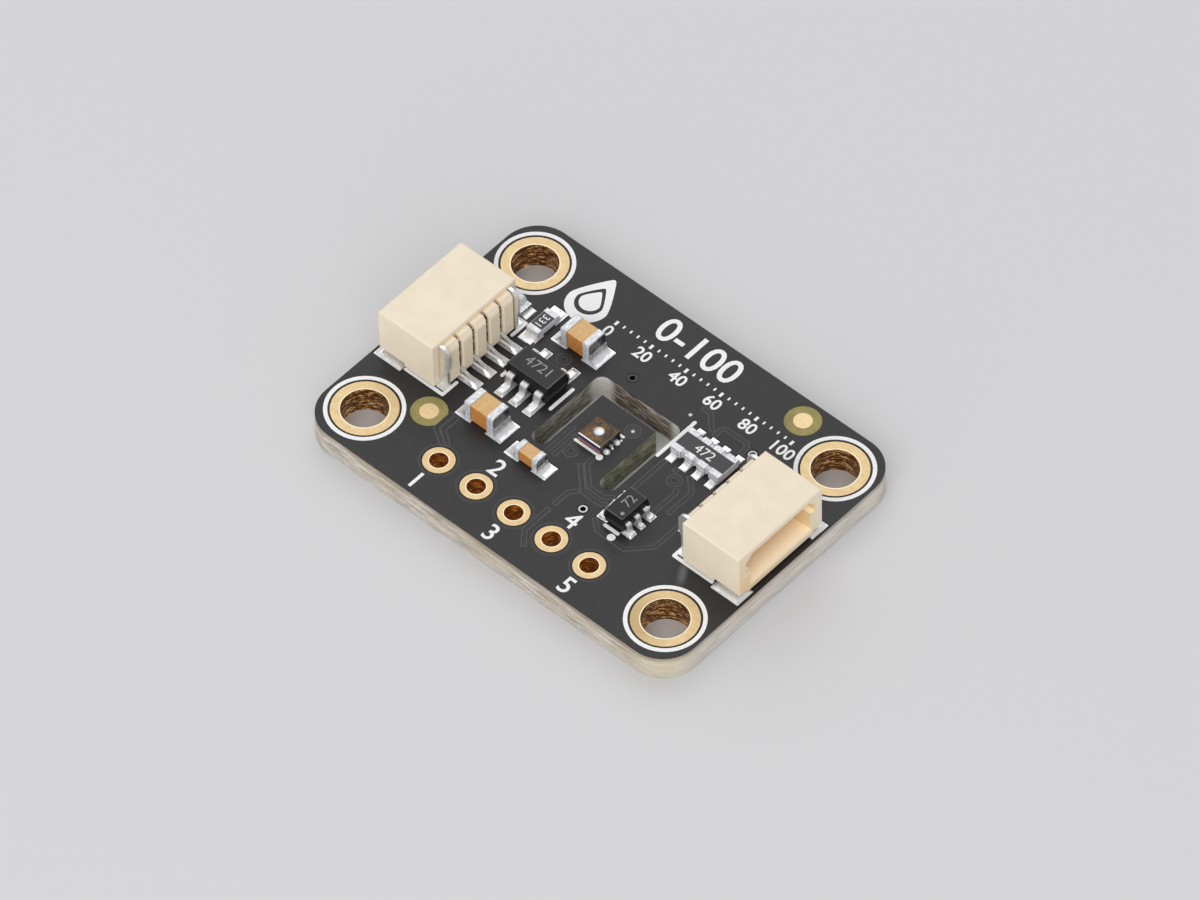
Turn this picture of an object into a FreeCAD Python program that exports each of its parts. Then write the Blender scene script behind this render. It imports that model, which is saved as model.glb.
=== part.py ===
import FreeCAD, Part
import math
import os

from FreeCAD import Vector

# Board: a glass laminate with its top coating, in millimetres
BOARD_LENGTH = 24.9
BOARD_WIDTH = 17.65
BOARD_THICKNESS = 1.6
BOARD_CORNER_RADIUS = 2.05
MASK_THICKNESS = 0.03
COPPER_THICKNESS = 0.03
SILK_THICKNESS = 0.02
MASK_CLEARANCE = 0.05
SILK_CLEARANCE = 0.06

# Mounting holes at the corners, each a plated eyelet inside a printed ring
MOUNT_INSET_X = 2.29
MOUNT_INSET_Y = 2.475
MOUNT_HOLE_RADIUS = 1.25
MOUNT_LAND_RADIUS = 1.76
MOUNT_RING_GAP = 0.12
MOUNT_RING_WIDTH = 0.22
PLATING_WALL = 0.05

# Header row, in line with the two front mounting holes
HEADER_COUNT = 5
HEADER_PITCH = 2.54
HEADER_HOLE_RADIUS = 0.5
HEADER_LAND_RADIUS = 0.84

# Plated vias left open in the coating
VIA_HOLE_RADIUS = 0.15
VIA_LAND_RADIUS = 0.27
VIA_WALL = 0.03
VIA_PLACES = ((2.43, -3.89), (-1.39, 4.02), (6.45, 4.3))

# Alignment dots, placed from the nearest mounting hole
FIDUCIAL_RADIUS = 0.5
FIDUCIAL_OPENING_RADIUS = 0.975
FIDUCIAL_FRONT_SHIFT = (2.55, 2.02)
FIDUCIAL_REAR_SHIFT = (-3.27, 1.26)

# U-shaped slot that keeps the board's heat away from the sensor
SLOT_WIDTH = 1.0
SLOT_SPAN = 4.6
SLOT_CENTRE_X = 0.02
SLOT_REAR_Y = 2.705
SLOT_LEG_LENGTH = 4.475

# Socket housing: a moulded side-entry shell for four contacts
SOCKET_SETBACK = 0.3
SOCKET_WIDTH = 6.15
SOCKET_DEPTH = 4.22
SOCKET_HEIGHT = 2.95
SOCKET_LIFT = 0.15
SOCKET_EDGE_RADIUS = 0.1
CONTACT_COUNT = 4
CONTACT_PITCH = 1.0
CONTACT_THICKNESS = 0.2
CONTACT_CLEARANCE = 0.01
RIB_DEPTH = 0.49
RIB_DROP = 0.3
RIB_CHAMFER_DEPTH = 0.22
RIB_CHAMFER_HEIGHT = 0.34
RIB_EDGE_CHAMFER = 0.07
RIB_ROOT = 0.25
FLOOR_THICKNESS = 0.4
CEILING_THICKNESS = 0.3
SIDE_WALL = 0.775
REAR_WALL = 0.68
KEY_SIDE_WALL = 0.475
KEY_HEIGHT = 0.6
KEY_DROP = 0.45
KEY_DEPTH = 2.5
OPENING_CORNER_CUT = 0.5
LEAD_IN_CHAMFER = 0.12

# Socket contact: a flat blade with a prong in front and a tail behind
TAIL_LENGTH = 0.88
TAIL_TOE_HEIGHT = 0.16
TAIL_HEEL_HEIGHT = 0.6
WEB_DEPTH = 0.32
WEB_HEIGHT = 2.55
WEB_CORNER = 0.1
PRONG_BASE_HEIGHT = 1.3
PRONG_THICKNESS = 0.32
PRONG_SETBACK = 0.8
PRONG_TAPER = 0.14

# Socket solder tab: a blade in the side wall with a foot on the board
TAB_THICKNESS = 0.18
TAB_CLEARANCE = 0.01
TAB_WALL_INSET = 0.445
TAB_REAR_REACH = 0.21
TAB_TALL_LENGTH = 1.48
TAB_TOP_GAP = 0.2
TAB_CORNER_RADIUS = 0.5
TAB_LOW_HEIGHT = 1.35
TAB_FRONT_SETBACK = 0.4
TAB_BOTTOM_GAP = 0.08
TAB_SHOULDER_HEIGHT = 1.55
TAB_SHOULDER_SLOPE = 0.4
TAB_SHOULDER_STEP = 0.17
TAB_HEEL_LENGTH = 0.5
TAB_HEEL_REACH = 0.32
TAB_FOOT_LENGTH = 1.0
TAB_FOOT_REACH = 0.6
TAB_FOOT_THICKNESS = 0.16
TAB_NOTCH_HEIGHT = 0.2
TAB_NOTCH_LENGTH = 1.7

# Socket lands on the board
SIGNAL_LAND_LENGTH = 1.55
SIGNAL_LAND_WIDTH = 0.6
SIGNAL_LAND_OVERLAP = 0.37
ANCHOR_LAND_LENGTH = 1.8
ANCHOR_LAND_WIDTH = 1.2
ANCHOR_LAND_OVERHANG = 0.15
ANCHOR_LAND_SIDE = 0.325

# Voltage regulator in a five-lead plastic package
REGULATOR_BODY = (2.9, 1.6, 1.1)
REGULATOR_STANDOFF = 0.1
REGULATOR_DRAFT = 0.09
REGULATOR_Y = 0.63
REGULATOR_LEAD_PITCH = 0.95
REGULATOR_LEAD_WIDTH = 0.42
REGULATOR_LEAD_THICKNESS = 0.15
REGULATOR_LEAD_HEIGHT = 0.68
REGULATOR_LEAD_REACH = 0.66
REGULATOR_LEAD_BEND = 0.135
REGULATOR_LEAD_SHOULDER = 0.2
REGULATOR_LEAD_FOOT = 0.33
REGULATOR_LAND = (0.56, 1.2)
REGULATOR_LAND_OUTER = 1.92

# Level shifter: a pair of transistors in a six-lead package
SHIFTER_BODY = (1.25, 2.0, 0.95)
SHIFTER_STANDOFF = 0.08
SHIFTER_DRAFT = 0.07
SHIFTER_X_SHIFT = -0.395
SHIFTER_Y = -2.8
SHIFTER_LEAD_PITCH = 0.65
SHIFTER_LEAD_WIDTH = 0.28
SHIFTER_LEAD_THICKNESS = 0.13
SHIFTER_LEAD_HEIGHT = 0.56
SHIFTER_LEAD_REACH = 0.46
SHIFTER_LEAD_BEND = 0.1
SHIFTER_LEAD_SHOULDER = 0.14
SHIFTER_LEAD_FOOT = 0.23
SHIFTER_LAND_LENGTH = 0.7
SHIFTER_LAND_OUTER = 1.145
SHIFTER_END_LAND_WIDTH = 0.5
SHIFTER_END_LAND_SHIFT = 0.08
SHIFTER_MID_LAND_WIDTH = 0.36

# Resistor array: four resistors on one ceramic with eight side terminals
ARRAY_BODY = (3.2, 1.6, 0.5)
ARRAY_X_SHIFT = 0.08
ARRAY_Y = 2.52
ARRAY_LAND = (0.46, 0.75)
ARRAY_LAND_PLACES = (-1.3, -0.4, 0.4, 1.3)
ARRAY_LAND_OUTER = 1.315
ARRAY_PITCH = 0.8
ARRAY_NOTCH_RADIUS = 0.14
ARRAY_TERMINAL_BAND = 0.34

# Chip resistor, lamp and capacitors
CHIP_PLATING = 0.03
COATING_THICKNESS = 0.03
COATING_INSET = 0.04
RESISTOR_BODY = (0.8, 1.6, 0.42)
RESISTOR_BAND = 0.3
RESISTOR_LAND = (0.96, 0.95)
RESISTOR_LAND_SPAN = 2.78
RESISTOR_FROM_SOCKET = 0.86
RESISTOR_Y = 3.56
LAMP_BASE = (1.6, 0.8, 0.3)
LAMP_BAND = 0.3
LAMP_LENS_HEIGHT = 0.35
LAMP_LENS_LENGTH = 0.94
LAMP_LENS_TOP = 0.72
LAMP_LENS_RADIUS = 0.08
LAMP_LAND = (0.75, 0.79)
LAMP_LAND_SPAN = 2.25
LAMP_FROM_FRONT = 3.05
LAMP_GAP_TO_SOCKET = 0.21
BULK_CAPACITOR_BODY = (2.0, 1.28, 1.25)
BULK_CAPACITOR_BAND = 0.45
BULK_CAPACITOR_LAND = (1.05, 1.51)
BULK_CAPACITOR_LAND_SPAN = 3.12
INPUT_CAPACITOR_X_SHIFT = -0.27
INPUT_CAPACITOR_Y = -2.8
OUTPUT_CAPACITOR_GAP = 0.37
OUTPUT_CAPACITOR_Y = 3.94
SMALL_CAPACITOR_BODY = (1.6, 0.82, 0.8)
SMALL_CAPACITOR_BAND = 0.35
SMALL_CAPACITOR_LAND = (0.95, 1.01)
SMALL_CAPACITOR_LAND_SPAN = 2.78
SMALL_CAPACITOR_PLACE = (-1.62, -3.32)
CAPACITOR_CAP_WALL = 0.03
CAPACITOR_EDGE_RADIUS = 0.1

# Humidity sensor in the middle of the island
SENSOR_SIZE = 1.5
SENSOR_HEIGHT = 0.52
SENSOR_STANDOFF = 0.05
SENSOR_CHAMFER = 0.05
SENSOR_PORT_RADIUS = 0.24
SENSOR_PORT_DEPTH = 0.14
SENSOR_MEMBRANE_THICKNESS = 0.05
SENSOR_CONTACT_PITCH = 0.8
SENSOR_CONTACT = (0.35, 0.3)
SENSOR_LAND = (0.5, 0.36)
SENSOR_LAND_REACH = 0.22
SENSOR_TIE = (0.26, 0.16, 0.1)
SENSOR_TIE_REACH = 0.15

# Solder around the feet and ends
SOLDER_FOOT_HEIGHT = 0.11
SOLDER_FOOT_CHAMFER = 0.04
SOLDER_TAIL_HEIGHT = 0.24
SOLDER_TAIL_CREST = (0.85, 0.28)
SOLDER_TAIL_CHAMFER = 0.1
SOLDER_TAIL_SHIFT = 0.12
SOLDER_CREST_RATIO = 0.72
SOLDER_SENSOR_HEIGHT = 0.13
SOLDER_MARGIN = 0.03
SOLDER_TOE = 0.03
SOLDER_CLIMB_RATIO = 0.42
SOLDER_HOLLOW_RATIO = 0.14

# Printed marks: line widths, gaps from the piece they go with, and ends
SILK_LINE = 0.2
SILK_FINE_LINE = 0.16
SILK_DOT_RADIUS = 0.22
SOCKET_MARK_GAP = 0.03
SOCKET_MARK_RETURN = 1.0
SOCKET_MARK_REACH = 2.42
REGULATOR_MARK_GAP = 0.2
REGULATOR_MARK_OVERHANG = 0.03
REGULATOR_CORNER_GAP = 0.67
REGULATOR_CORNER_ENDS = ((-1.58, -1.28), (0.36, 0.66))
SHIFTER_MARK_GAP = 0.13
SHIFTER_MARK_HALF = 0.42
SHIFTER_SIDE_MARK_GAP = 0.48
SHIFTER_SIDE_MARK_ENDS = (-0.2, 1.1)
SHIFTER_DOT_SHIFT = (0.33, -0.39)
ARRAY_MARK_GAP = 0.34
ARRAY_MARK_HALF = 1.4
SENSOR_MARK_GAP = 0.1
SENSOR_DOT_SHIFT = (-0.03, -0.05)
SENSOR_DOT_RADIUS = 0.19

# Levels and places worked out from the sizes above
LAMINATE_TOP = BOARD_THICKNESS - MASK_THICKNESS
LAND_TOP = LAMINATE_TOP + COPPER_THICKNESS
MASK_TOP = BOARD_THICKNESS
SILK_TOP = MASK_TOP + SILK_THICKNESS
LAND_STEP = LAND_TOP - MASK_TOP
MOUNT_X = BOARD_LENGTH / 2 - MOUNT_INSET_X
MOUNT_Y = BOARD_WIDTH / 2 - MOUNT_INSET_Y
MOUNT_PLACES = [(sx * MOUNT_X, sy * MOUNT_Y) for sx in (-1, 1) for sy in (-1, 1)]
HEADER_PLACES = [
    ((i - (HEADER_COUNT - 1) / 2) * HEADER_PITCH, -MOUNT_Y) for i in range(HEADER_COUNT)
]
FIDUCIAL_PLACES = [
    (-MOUNT_X + FIDUCIAL_FRONT_SHIFT[0], -MOUNT_Y + FIDUCIAL_FRONT_SHIFT[1]),
    (MOUNT_X + FIDUCIAL_REAR_SHIFT[0], MOUNT_Y + FIDUCIAL_REAR_SHIFT[1]),
]
SOCKET_FRONT_X = BOARD_LENGTH / 2 - SOCKET_SETBACK
PLATE_REAR = RIB_DEPTH - SOCKET_DEPTH
CAVITY_REAR = PLATE_REAR + REAR_WALL
SOCKET_TOP = SOCKET_LIFT + SOCKET_HEIGHT
CAVITY_FLOOR = SOCKET_LIFT + FLOOR_THICKNESS
CAVITY_CEILING = SOCKET_TOP - CEILING_THICKNESS
RIB_WIDTH = CONTACT_PITCH - CONTACT_THICKNESS - 2 * CONTACT_CLEARANCE
TAB_CENTRE_Y = SOCKET_WIDTH / 2 - TAB_WALL_INSET - TAB_THICKNESS / 2
SLOT_OUTER_X = (SLOT_SPAN + SLOT_WIDTH) / 2
SOCKET_REAR_X = SOCKET_FRONT_X - SOCKET_DEPTH
SIGNAL_LAND_INNER_X = SOCKET_REAR_X + SIGNAL_LAND_OVERLAP - SIGNAL_LAND_LENGTH
ZONE_X = (SIGNAL_LAND_INNER_X + SLOT_OUTER_X) / 2
REGULATOR_PLACE = (-ZONE_X, REGULATOR_Y)
SHIFTER_PLACE = (ZONE_X + SHIFTER_X_SHIFT, SHIFTER_Y)
ARRAY_PLACE = (ZONE_X + ARRAY_X_SHIFT, ARRAY_Y)
RESISTOR_PLACE = (RESISTOR_FROM_SOCKET - SOCKET_REAR_X, RESISTOR_Y)
OUTPUT_CAPACITOR_PLACE = (
    RESISTOR_PLACE[0] + RESISTOR_LAND[0] / 2 + OUTPUT_CAPACITOR_GAP + BULK_CAPACITOR_LAND_SPAN / 2,
    OUTPUT_CAPACITOR_Y,
)
LAMP_PLACE = (
    -(SOCKET_FRONT_X - LAMP_FROM_FRONT),
    SOCKET_WIDTH / 2 + LAMP_GAP_TO_SOCKET + LAMP_BASE[1] / 2,
)
INPUT_CAPACITOR_PLACE = (-ZONE_X + INPUT_CAPACITOR_X_SHIFT, INPUT_CAPACITOR_Y)
THROUGH = 1.0
SLIVER = 0.001


def box(x0, x1, y0, y1, z0, z1):
    return Part.makeBox(x1 - x0, y1 - y0, z1 - z0, Vector(x0, y0, z0))


def block(place, size, z0):
    """A box of the given length, width and height centred over a place."""
    x, y = place
    length, width, height = size
    return box(x - length / 2, x + length / 2, y - width / 2, y + width / 2, z0, z0 + height)


def cylinder(place, radius, z0, z1):
    return Part.makeCylinder(radius, z1 - z0, Vector(place[0], place[1], z0))


def prism_along_y(points, y0, y1):
    """Extrude an outline given as (x, z) points from y0 to y1."""
    outline = [Vector(x, y0, z) for x, z in points]
    face = Part.Face(Part.makePolygon(outline + outline[:1]))
    return face.extrude(Vector(0, y1 - y0, 0))


def prism_along_x(points, x0, x1):
    """Extrude an outline given as (y, z) points from x0 to x1."""
    outline = [Vector(x0, y, z) for y, z in points]
    face = Part.Face(Part.makePolygon(outline + outline[:1]))
    return face.extrude(Vector(x1 - x0, 0, 0))


def rounded_plate(length, width, radius, z0, z1):
    """A plate with four round corners, centred on the origin."""
    plate = box(-length / 2, length / 2, -width / 2, width / 2, z0, z1)
    uprights = [e for e in plate.Edges if abs(e.Vertexes[0].Z - e.Vertexes[1].Z) > (z1 - z0) / 2]
    return plate.makeFillet(radius, uprights)


def stadium(start, end, width, z0, z1):
    """A bar with round ends between two places."""
    dx = end[0] - start[0]
    dy = end[1] - start[1]
    length = math.hypot(dx, dy)
    bar = box(0, length, -width / 2, width / 2, z0, z1)
    for x in (0, length):
        bar = bar.fuse(cylinder((x, 0), width / 2, z0, z1))
    bar = bar.removeSplitter()
    bar.rotate(Vector(0, 0, 0), Vector(0, 0, 1), math.degrees(math.atan2(dy, dx)))
    bar.translate(Vector(start[0], start[1], 0))
    return bar


def tapered_block(place, levels):
    """A solid through rectangles given as (z, length, width), lowest first."""
    x, y = place
    wires = []
    for z, length, width in levels:
        corners = [
            Vector(x + sx * length / 2, y + sy * width / 2, z)
            for sx, sy in ((-1, -1), (1, -1), (1, 1), (-1, 1))
        ]
        wires.append(Part.makePolygon(corners + corners[:1]))
    return Part.makeLoft(wires, True, True)


def bent_strip(points, thickness, bend_radius, width):
    """Sheet metal of one thickness that follows (x, z) points, centred on y = 0.

    The radius is that of the middle of the sheet at each bend.
    """
    path = [Vector(x, 0, z) for x, z in points]
    edges = {1: [], -1: []}
    last = {}
    for side in (1, -1):
        direction = (path[1] - path[0]).normalize()
        normal = Vector(-direction.z, 0, direction.x) * (side * thickness / 2)
        last[side] = path[0] + normal
    first = dict(last)
    for before, corner, after in zip(path, path[1:], path[2:]):
        inward = (corner - before).normalize()
        outward = (after - corner).normalize()
        turn = inward.getAngle(outward)
        left = 1 if inward.x * outward.z - inward.z * outward.x > 0 else -1
        setback = bend_radius * math.tan(turn / 2)
        centre = corner - inward * setback + Vector(-inward.z, 0, inward.x) * (left * bend_radius)
        for side in (1, -1):
            radius = bend_radius - side * left * thickness / 2
            ends = []
            for direction in (inward, (inward + outward).normalize(), outward):
                ends.append(centre - Vector(-direction.z, 0, direction.x) * (left * radius))
            edges[side].append(Part.LineSegment(last[side], ends[0]).toShape())
            edges[side].append(Part.Arc(*ends).toShape())
            last[side] = ends[2]
    direction = (path[-1] - path[-2]).normalize()
    closing = []
    for side in (1, -1):
        normal = Vector(-direction.z, 0, direction.x) * (side * thickness / 2)
        end = path[-1] + normal
        edges[side].append(Part.LineSegment(last[side], end).toShape())
        closing.append(end)
    outline = edges[1] + [Part.LineSegment(*closing).toShape()] + edges[-1][::-1]
    outline.append(Part.LineSegment(first[-1], first[1]).toShape())
    wire = Part.Wire(Part.__sortEdges__(outline))
    strip = Part.Face(wire).extrude(Vector(0, width, 0))
    strip.translate(Vector(0, -width / 2, 0))
    return strip


def turned(shape, degrees, place, z0=0.0):
    """A copy turned about Z at the origin, then moved over a place."""
    copy = shape.copy()
    copy.rotate(Vector(0, 0, 0), Vector(0, 0, 1), degrees)
    copy.translate(Vector(place[0], place[1], z0))
    return copy


def cut_all(shape, tools):
    return shape.cut(tools) if tools else shape


def group(shapes):
    """Separate solids kept together in one sub-part."""
    solids = []
    for shape in shapes:
        solids.extend(shape.Solids)
    return Part.makeCompound(solids)


def eyelet(place, hole_radius, land_radius, wall):
    """A plated hole: a barrel with a flat land on both faces of the laminate."""
    outline = [
        (hole_radius, 0),
        (land_radius, 0),
        (land_radius, COPPER_THICKNESS),
        (hole_radius + wall, COPPER_THICKNESS),
        (hole_radius + wall, LAMINATE_TOP),
        (land_radius, LAMINATE_TOP),
        (land_radius, LAND_TOP),
        (hole_radius, LAND_TOP),
    ]
    points = [Vector(x, 0, z) for x, z in outline]
    face = Part.Face(Part.makePolygon(points + points[:1]))
    ring = face.revolve(Vector(0, 0, 0), Vector(0, 0, 1), 360)
    ring.translate(Vector(place[0], place[1], 0))
    return ring


def eyelet_seat(place, hole_radius, land_radius, wall):
    """The room that an eyelet takes out of the laminate."""
    bore = cylinder(place, hole_radius + wall, -THROUGH, BOARD_THICKNESS + THROUGH)
    return bore.fuse(cylinder(place, land_radius, -THROUGH, COPPER_THICKNESS))


EYELETS = {
    "mounting": (MOUNT_PLACES, MOUNT_HOLE_RADIUS, MOUNT_LAND_RADIUS, PLATING_WALL),
    "header": (HEADER_PLACES, HEADER_HOLE_RADIUS, HEADER_LAND_RADIUS, PLATING_WALL),
    "via": (VIA_PLACES, VIA_HOLE_RADIUS, VIA_LAND_RADIUS, VIA_WALL),
}


def eyelets(kind):
    places, hole, land, wall = EYELETS[kind]
    return group([eyelet(place, hole, land, wall) for place in places])


def isolation_slot(z0, z1):
    """Three milled legs that meet in round corners."""
    left = SLOT_CENTRE_X - SLOT_SPAN / 2
    right = SLOT_CENTRE_X + SLOT_SPAN / 2
    front = SLOT_REAR_Y - SLOT_LEG_LENGTH
    slot = stadium((left, SLOT_REAR_Y), (right, SLOT_REAR_Y), SLOT_WIDTH, z0, z1)
    for x in (left, right):
        slot = slot.fuse(stadium((x, front), (x, SLOT_REAR_Y), SLOT_WIDTH, z0, z1))
    return slot.removeSplitter()


# Lands are kept as (x, y, length along x, width along y)
def socket_lands():
    lands = []
    for sign in (1, -1):
        middle = SIGNAL_LAND_INNER_X + SIGNAL_LAND_LENGTH / 2
        for i in range(CONTACT_COUNT):
            y = (i - (CONTACT_COUNT - 1) / 2) * CONTACT_PITCH
            lands.append((sign * middle, y, SIGNAL_LAND_LENGTH, SIGNAL_LAND_WIDTH))
        middle = SOCKET_FRONT_X + ANCHOR_LAND_OVERHANG - ANCHOR_LAND_LENGTH / 2
        side = SOCKET_WIDTH / 2 + ANCHOR_LAND_SIDE - ANCHOR_LAND_WIDTH / 2
        for y in (-side, side):
            lands.append((sign * middle, y, ANCHOR_LAND_LENGTH, ANCHOR_LAND_WIDTH))
    return lands


def chip_lands(place, land, span, along_y=False):
    """The two lands under a chip's ends, span being their outer distance."""
    x, y = place
    length, width = land
    if along_y:
        shift = (span - width) / 2
        return [(x, y - shift, length, width), (x, y + shift, length, width)]
    shift = (span - length) / 2
    return [(x - shift, y, length, width), (x + shift, y, length, width)]


def regulator_lands():
    x, y = REGULATOR_PLACE
    width, length = REGULATOR_LAND
    shift = REGULATOR_LAND_OUTER - length / 2
    front = [(x + i * REGULATOR_LEAD_PITCH, y - shift, width, length) for i in (-1, 0, 1)]
    rear = [(x + i * REGULATOR_LEAD_PITCH, y + shift, width, length) for i in (-1, 1)]
    return front + rear


def shifter_lands():
    x, y = SHIFTER_PLACE
    shift = SHIFTER_LAND_OUTER - SHIFTER_LAND_LENGTH / 2
    lands = []
    for side in (-1, 1):
        for row in (-1, 0, 1):
            width = SHIFTER_END_LAND_WIDTH if row else SHIFTER_MID_LAND_WIDTH
            row_y = row * (SHIFTER_LEAD_PITCH + SHIFTER_END_LAND_SHIFT)
            lands.append((x + side * shift, y + row_y, SHIFTER_LAND_LENGTH, width))
    return lands


def array_lands():
    x, y = ARRAY_PLACE
    width, length = ARRAY_LAND
    shift = ARRAY_LAND_OUTER - length / 2
    return [(x + dx, y + side * shift, width, length) for side in (-1, 1) for dx in ARRAY_LAND_PLACES]


def sensor_rows(reach, length):
    """Centres of four pads whose outer ends lie at a reach beyond the body."""
    shift = SENSOR_SIZE / 2 + reach - length / 2
    return [(sx * shift, sy * SENSOR_CONTACT_PITCH / 2) for sx in (-1, 1) for sy in (-1, 1)]


def sensor_lands():
    return [place + SENSOR_LAND for place in sensor_rows(SENSOR_LAND_REACH, SENSOR_LAND[0])]


CHIP_LANDS = {
    "resistor": chip_lands(RESISTOR_PLACE, RESISTOR_LAND, RESISTOR_LAND_SPAN, True),
    "lamp": chip_lands(LAMP_PLACE, LAMP_LAND, LAMP_LAND_SPAN),
    "input": chip_lands(INPUT_CAPACITOR_PLACE, BULK_CAPACITOR_LAND, BULK_CAPACITOR_LAND_SPAN),
    "output": chip_lands(OUTPUT_CAPACITOR_PLACE, BULK_CAPACITOR_LAND, BULK_CAPACITOR_LAND_SPAN),
    "small": chip_lands(SMALL_CAPACITOR_PLACE, SMALL_CAPACITOR_LAND, SMALL_CAPACITOR_LAND_SPAN),
}


def component_lands():
    lands = regulator_lands() + shifter_lands() + array_lands() + sensor_lands()
    for pair in CHIP_LANDS.values():
        lands.extend(pair)
    return lands


def land_blocks(lands, z0, height, margin=0.0):
    return [
        block((x, y), (length + 2 * margin, width + 2 * margin, height), z0)
        for x, y, length, width in lands
    ]


def printed_board():
    plate = rounded_plate(BOARD_LENGTH, BOARD_WIDTH, BOARD_CORNER_RADIUS, 0, LAMINATE_TOP)
    tools = [isolation_slot(-THROUGH, BOARD_THICKNESS + THROUGH)]
    for places, hole, land, wall in EYELETS.values():
        tools.extend(eyelet_seat(place, hole, land, wall) for place in places)
    return cut_all(plate, tools)


def mask_openings(margin, z0, height):
    """Cutters for everything that the top coating and the print leave bare."""
    tools = []
    for places, hole, land, wall in EYELETS.values():
        tools.extend(cylinder(place, land + margin, z0, z0 + height) for place in places)
    for place in FIDUCIAL_PLACES:
        tools.append(cylinder(place, FIDUCIAL_OPENING_RADIUS, z0, z0 + height))
    tools.extend(land_blocks(socket_lands() + component_lands(), z0, height, margin))
    return tools


def top_solder_mask():
    plate = rounded_plate(BOARD_LENGTH, BOARD_WIDTH, BOARD_CORNER_RADIUS, LAMINATE_TOP, MASK_TOP)
    tools = mask_openings(MASK_CLEARANCE, LAMINATE_TOP - THROUGH, 2 * THROUGH)
    tools.append(isolation_slot(LAMINATE_TOP - THROUGH, MASK_TOP + THROUGH))
    return group([cut_all(plate, tools)])


def fiducial_dots():
    return group([cylinder(p, FIDUCIAL_RADIUS, LAMINATE_TOP, LAND_TOP) for p in FIDUCIAL_PLACES])


def printed_line(start, end, width=SILK_LINE):
    return stadium(start, end, width, MASK_TOP, SILK_TOP)


def printed_dot(place, radius=SILK_DOT_RADIUS):
    return cylinder(place, radius, MASK_TOP, SILK_TOP)


def socket_prints(sign):
    """The two corner marks behind a socket."""
    corner_x = sign * (SOCKET_REAR_X - SILK_LINE / 2)
    front_x = sign * (SOCKET_REAR_X + SOCKET_MARK_REACH)
    marks = []
    for side in (-1, 1):
        corner_y = side * (SOCKET_WIDTH / 2 + SOCKET_MARK_GAP)
        inner_y = side * (SOCKET_WIDTH / 2 - SOCKET_MARK_RETURN)
        upright = printed_line((corner_x, inner_y), (corner_x, corner_y))
        level = printed_line((corner_x, corner_y), (front_x, corner_y))
        marks.append(upright.fuse(level).removeSplitter())
    return marks


def regulator_prints():
    x, y = REGULATOR_PLACE
    side = REGULATOR_BODY[0] / 2 + REGULATOR_MARK_GAP
    reach = REGULATOR_BODY[1] / 2 + REGULATOR_MARK_OVERHANG
    marks = [printed_line((x + s * side, y - reach), (x + s * side, y + reach)) for s in (-1, 1)]
    rear_y = y + REGULATOR_BODY[1] / 2 + REGULATOR_CORNER_GAP
    for start, end in REGULATOR_CORNER_ENDS:
        marks.append(printed_line((x + start, rear_y), (x + end, rear_y), SILK_FINE_LINE))
    return marks


def shifter_prints():
    x, y = SHIFTER_PLACE
    front = SHIFTER_BODY[1] / 2 + SHIFTER_MARK_GAP
    half = SHIFTER_MARK_HALF
    marks = [printed_line((x - half, y + s * front), (x + half, y + s * front)) for s in (-1, 1)]
    side_x = x - SHIFTER_BODY[0] / 2 - SHIFTER_SIDE_MARK_GAP
    low, high = SHIFTER_SIDE_MARK_ENDS
    marks.append(printed_line((side_x, y + low), (side_x, y + high), SILK_FINE_LINE))
    dx, dy = SHIFTER_DOT_SHIFT
    marks.append(printed_dot((x + dx, y - front + dy)))
    return marks


def array_prints():
    x, y = ARRAY_PLACE
    side = ARRAY_BODY[0] / 2 + ARRAY_MARK_GAP
    half = ARRAY_MARK_HALF
    return [printed_line((x + s * side, y - half), (x + s * side, y + half)) for s in (-1, 1)]


def sensor_prints():
    """A line along both sides of the sensor, the front one ending in a dot."""
    reach = SENSOR_SIZE / 2 + SENSOR_MARK_GAP
    marks = [printed_line((-reach, s * reach), (reach, s * reach), SILK_FINE_LINE) for s in (-1, 1)]
    dx, dy = SENSOR_DOT_SHIFT
    dot = printed_dot((reach + dx, -reach + dy), SENSOR_DOT_RADIUS)
    marks[0] = marks[0].fuse(dot).removeSplitter()
    return marks


def silkscreen_marks():
    """Rings round the mounting holes, corner marks, outlines and dots."""
    marks = []
    inner = MOUNT_LAND_RADIUS + MOUNT_RING_GAP
    for place in MOUNT_PLACES:
        ring = cylinder(place, inner + MOUNT_RING_WIDTH, MASK_TOP, SILK_TOP)
        marks.append(ring.cut(cylinder(place, inner, MASK_TOP, SILK_TOP)))
    for sign in (-1, 1):
        marks.extend(socket_prints(sign))
    marks.extend(regulator_prints() + shifter_prints() + array_prints() + sensor_prints())
    tools = mask_openings(SILK_CLEARANCE, MASK_TOP - THROUGH, 2 * THROUGH)
    tools.append(isolation_slot(MASK_TOP - THROUGH, MASK_TOP + THROUGH))
    return group([cut_all(mark, tools) for mark in marks])


# Sockets are built with the front face at x = 0, facing +X, and the board's top at z = 0
def contact_rows():
    return [(i - (CONTACT_COUNT - 1) / 2) * CONTACT_PITCH for i in range(CONTACT_COUNT)]


def housing_rib(y):
    """A fin behind the plate, with a sloped top and eased upright corners."""
    rear = -SOCKET_DEPTH
    front = PLATE_REAR + RIB_ROOT
    top = SOCKET_TOP - RIB_DROP
    outline = [
        (rear, SOCKET_LIFT),
        (front, SOCKET_LIFT),
        (front, top),
        (rear + RIB_CHAMFER_DEPTH, top),
        (rear, top - RIB_CHAMFER_HEIGHT),
    ]
    rib = prism_along_y(outline, y - RIB_WIDTH / 2, y + RIB_WIDTH / 2)
    eased = [e for e in rib.Edges if max(v.X for v in e.Vertexes) < rear + SLIVER and e.Length > RIB_WIDTH]
    return rib.makeChamfer(RIB_EDGE_CHAMFER, eased)


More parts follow.
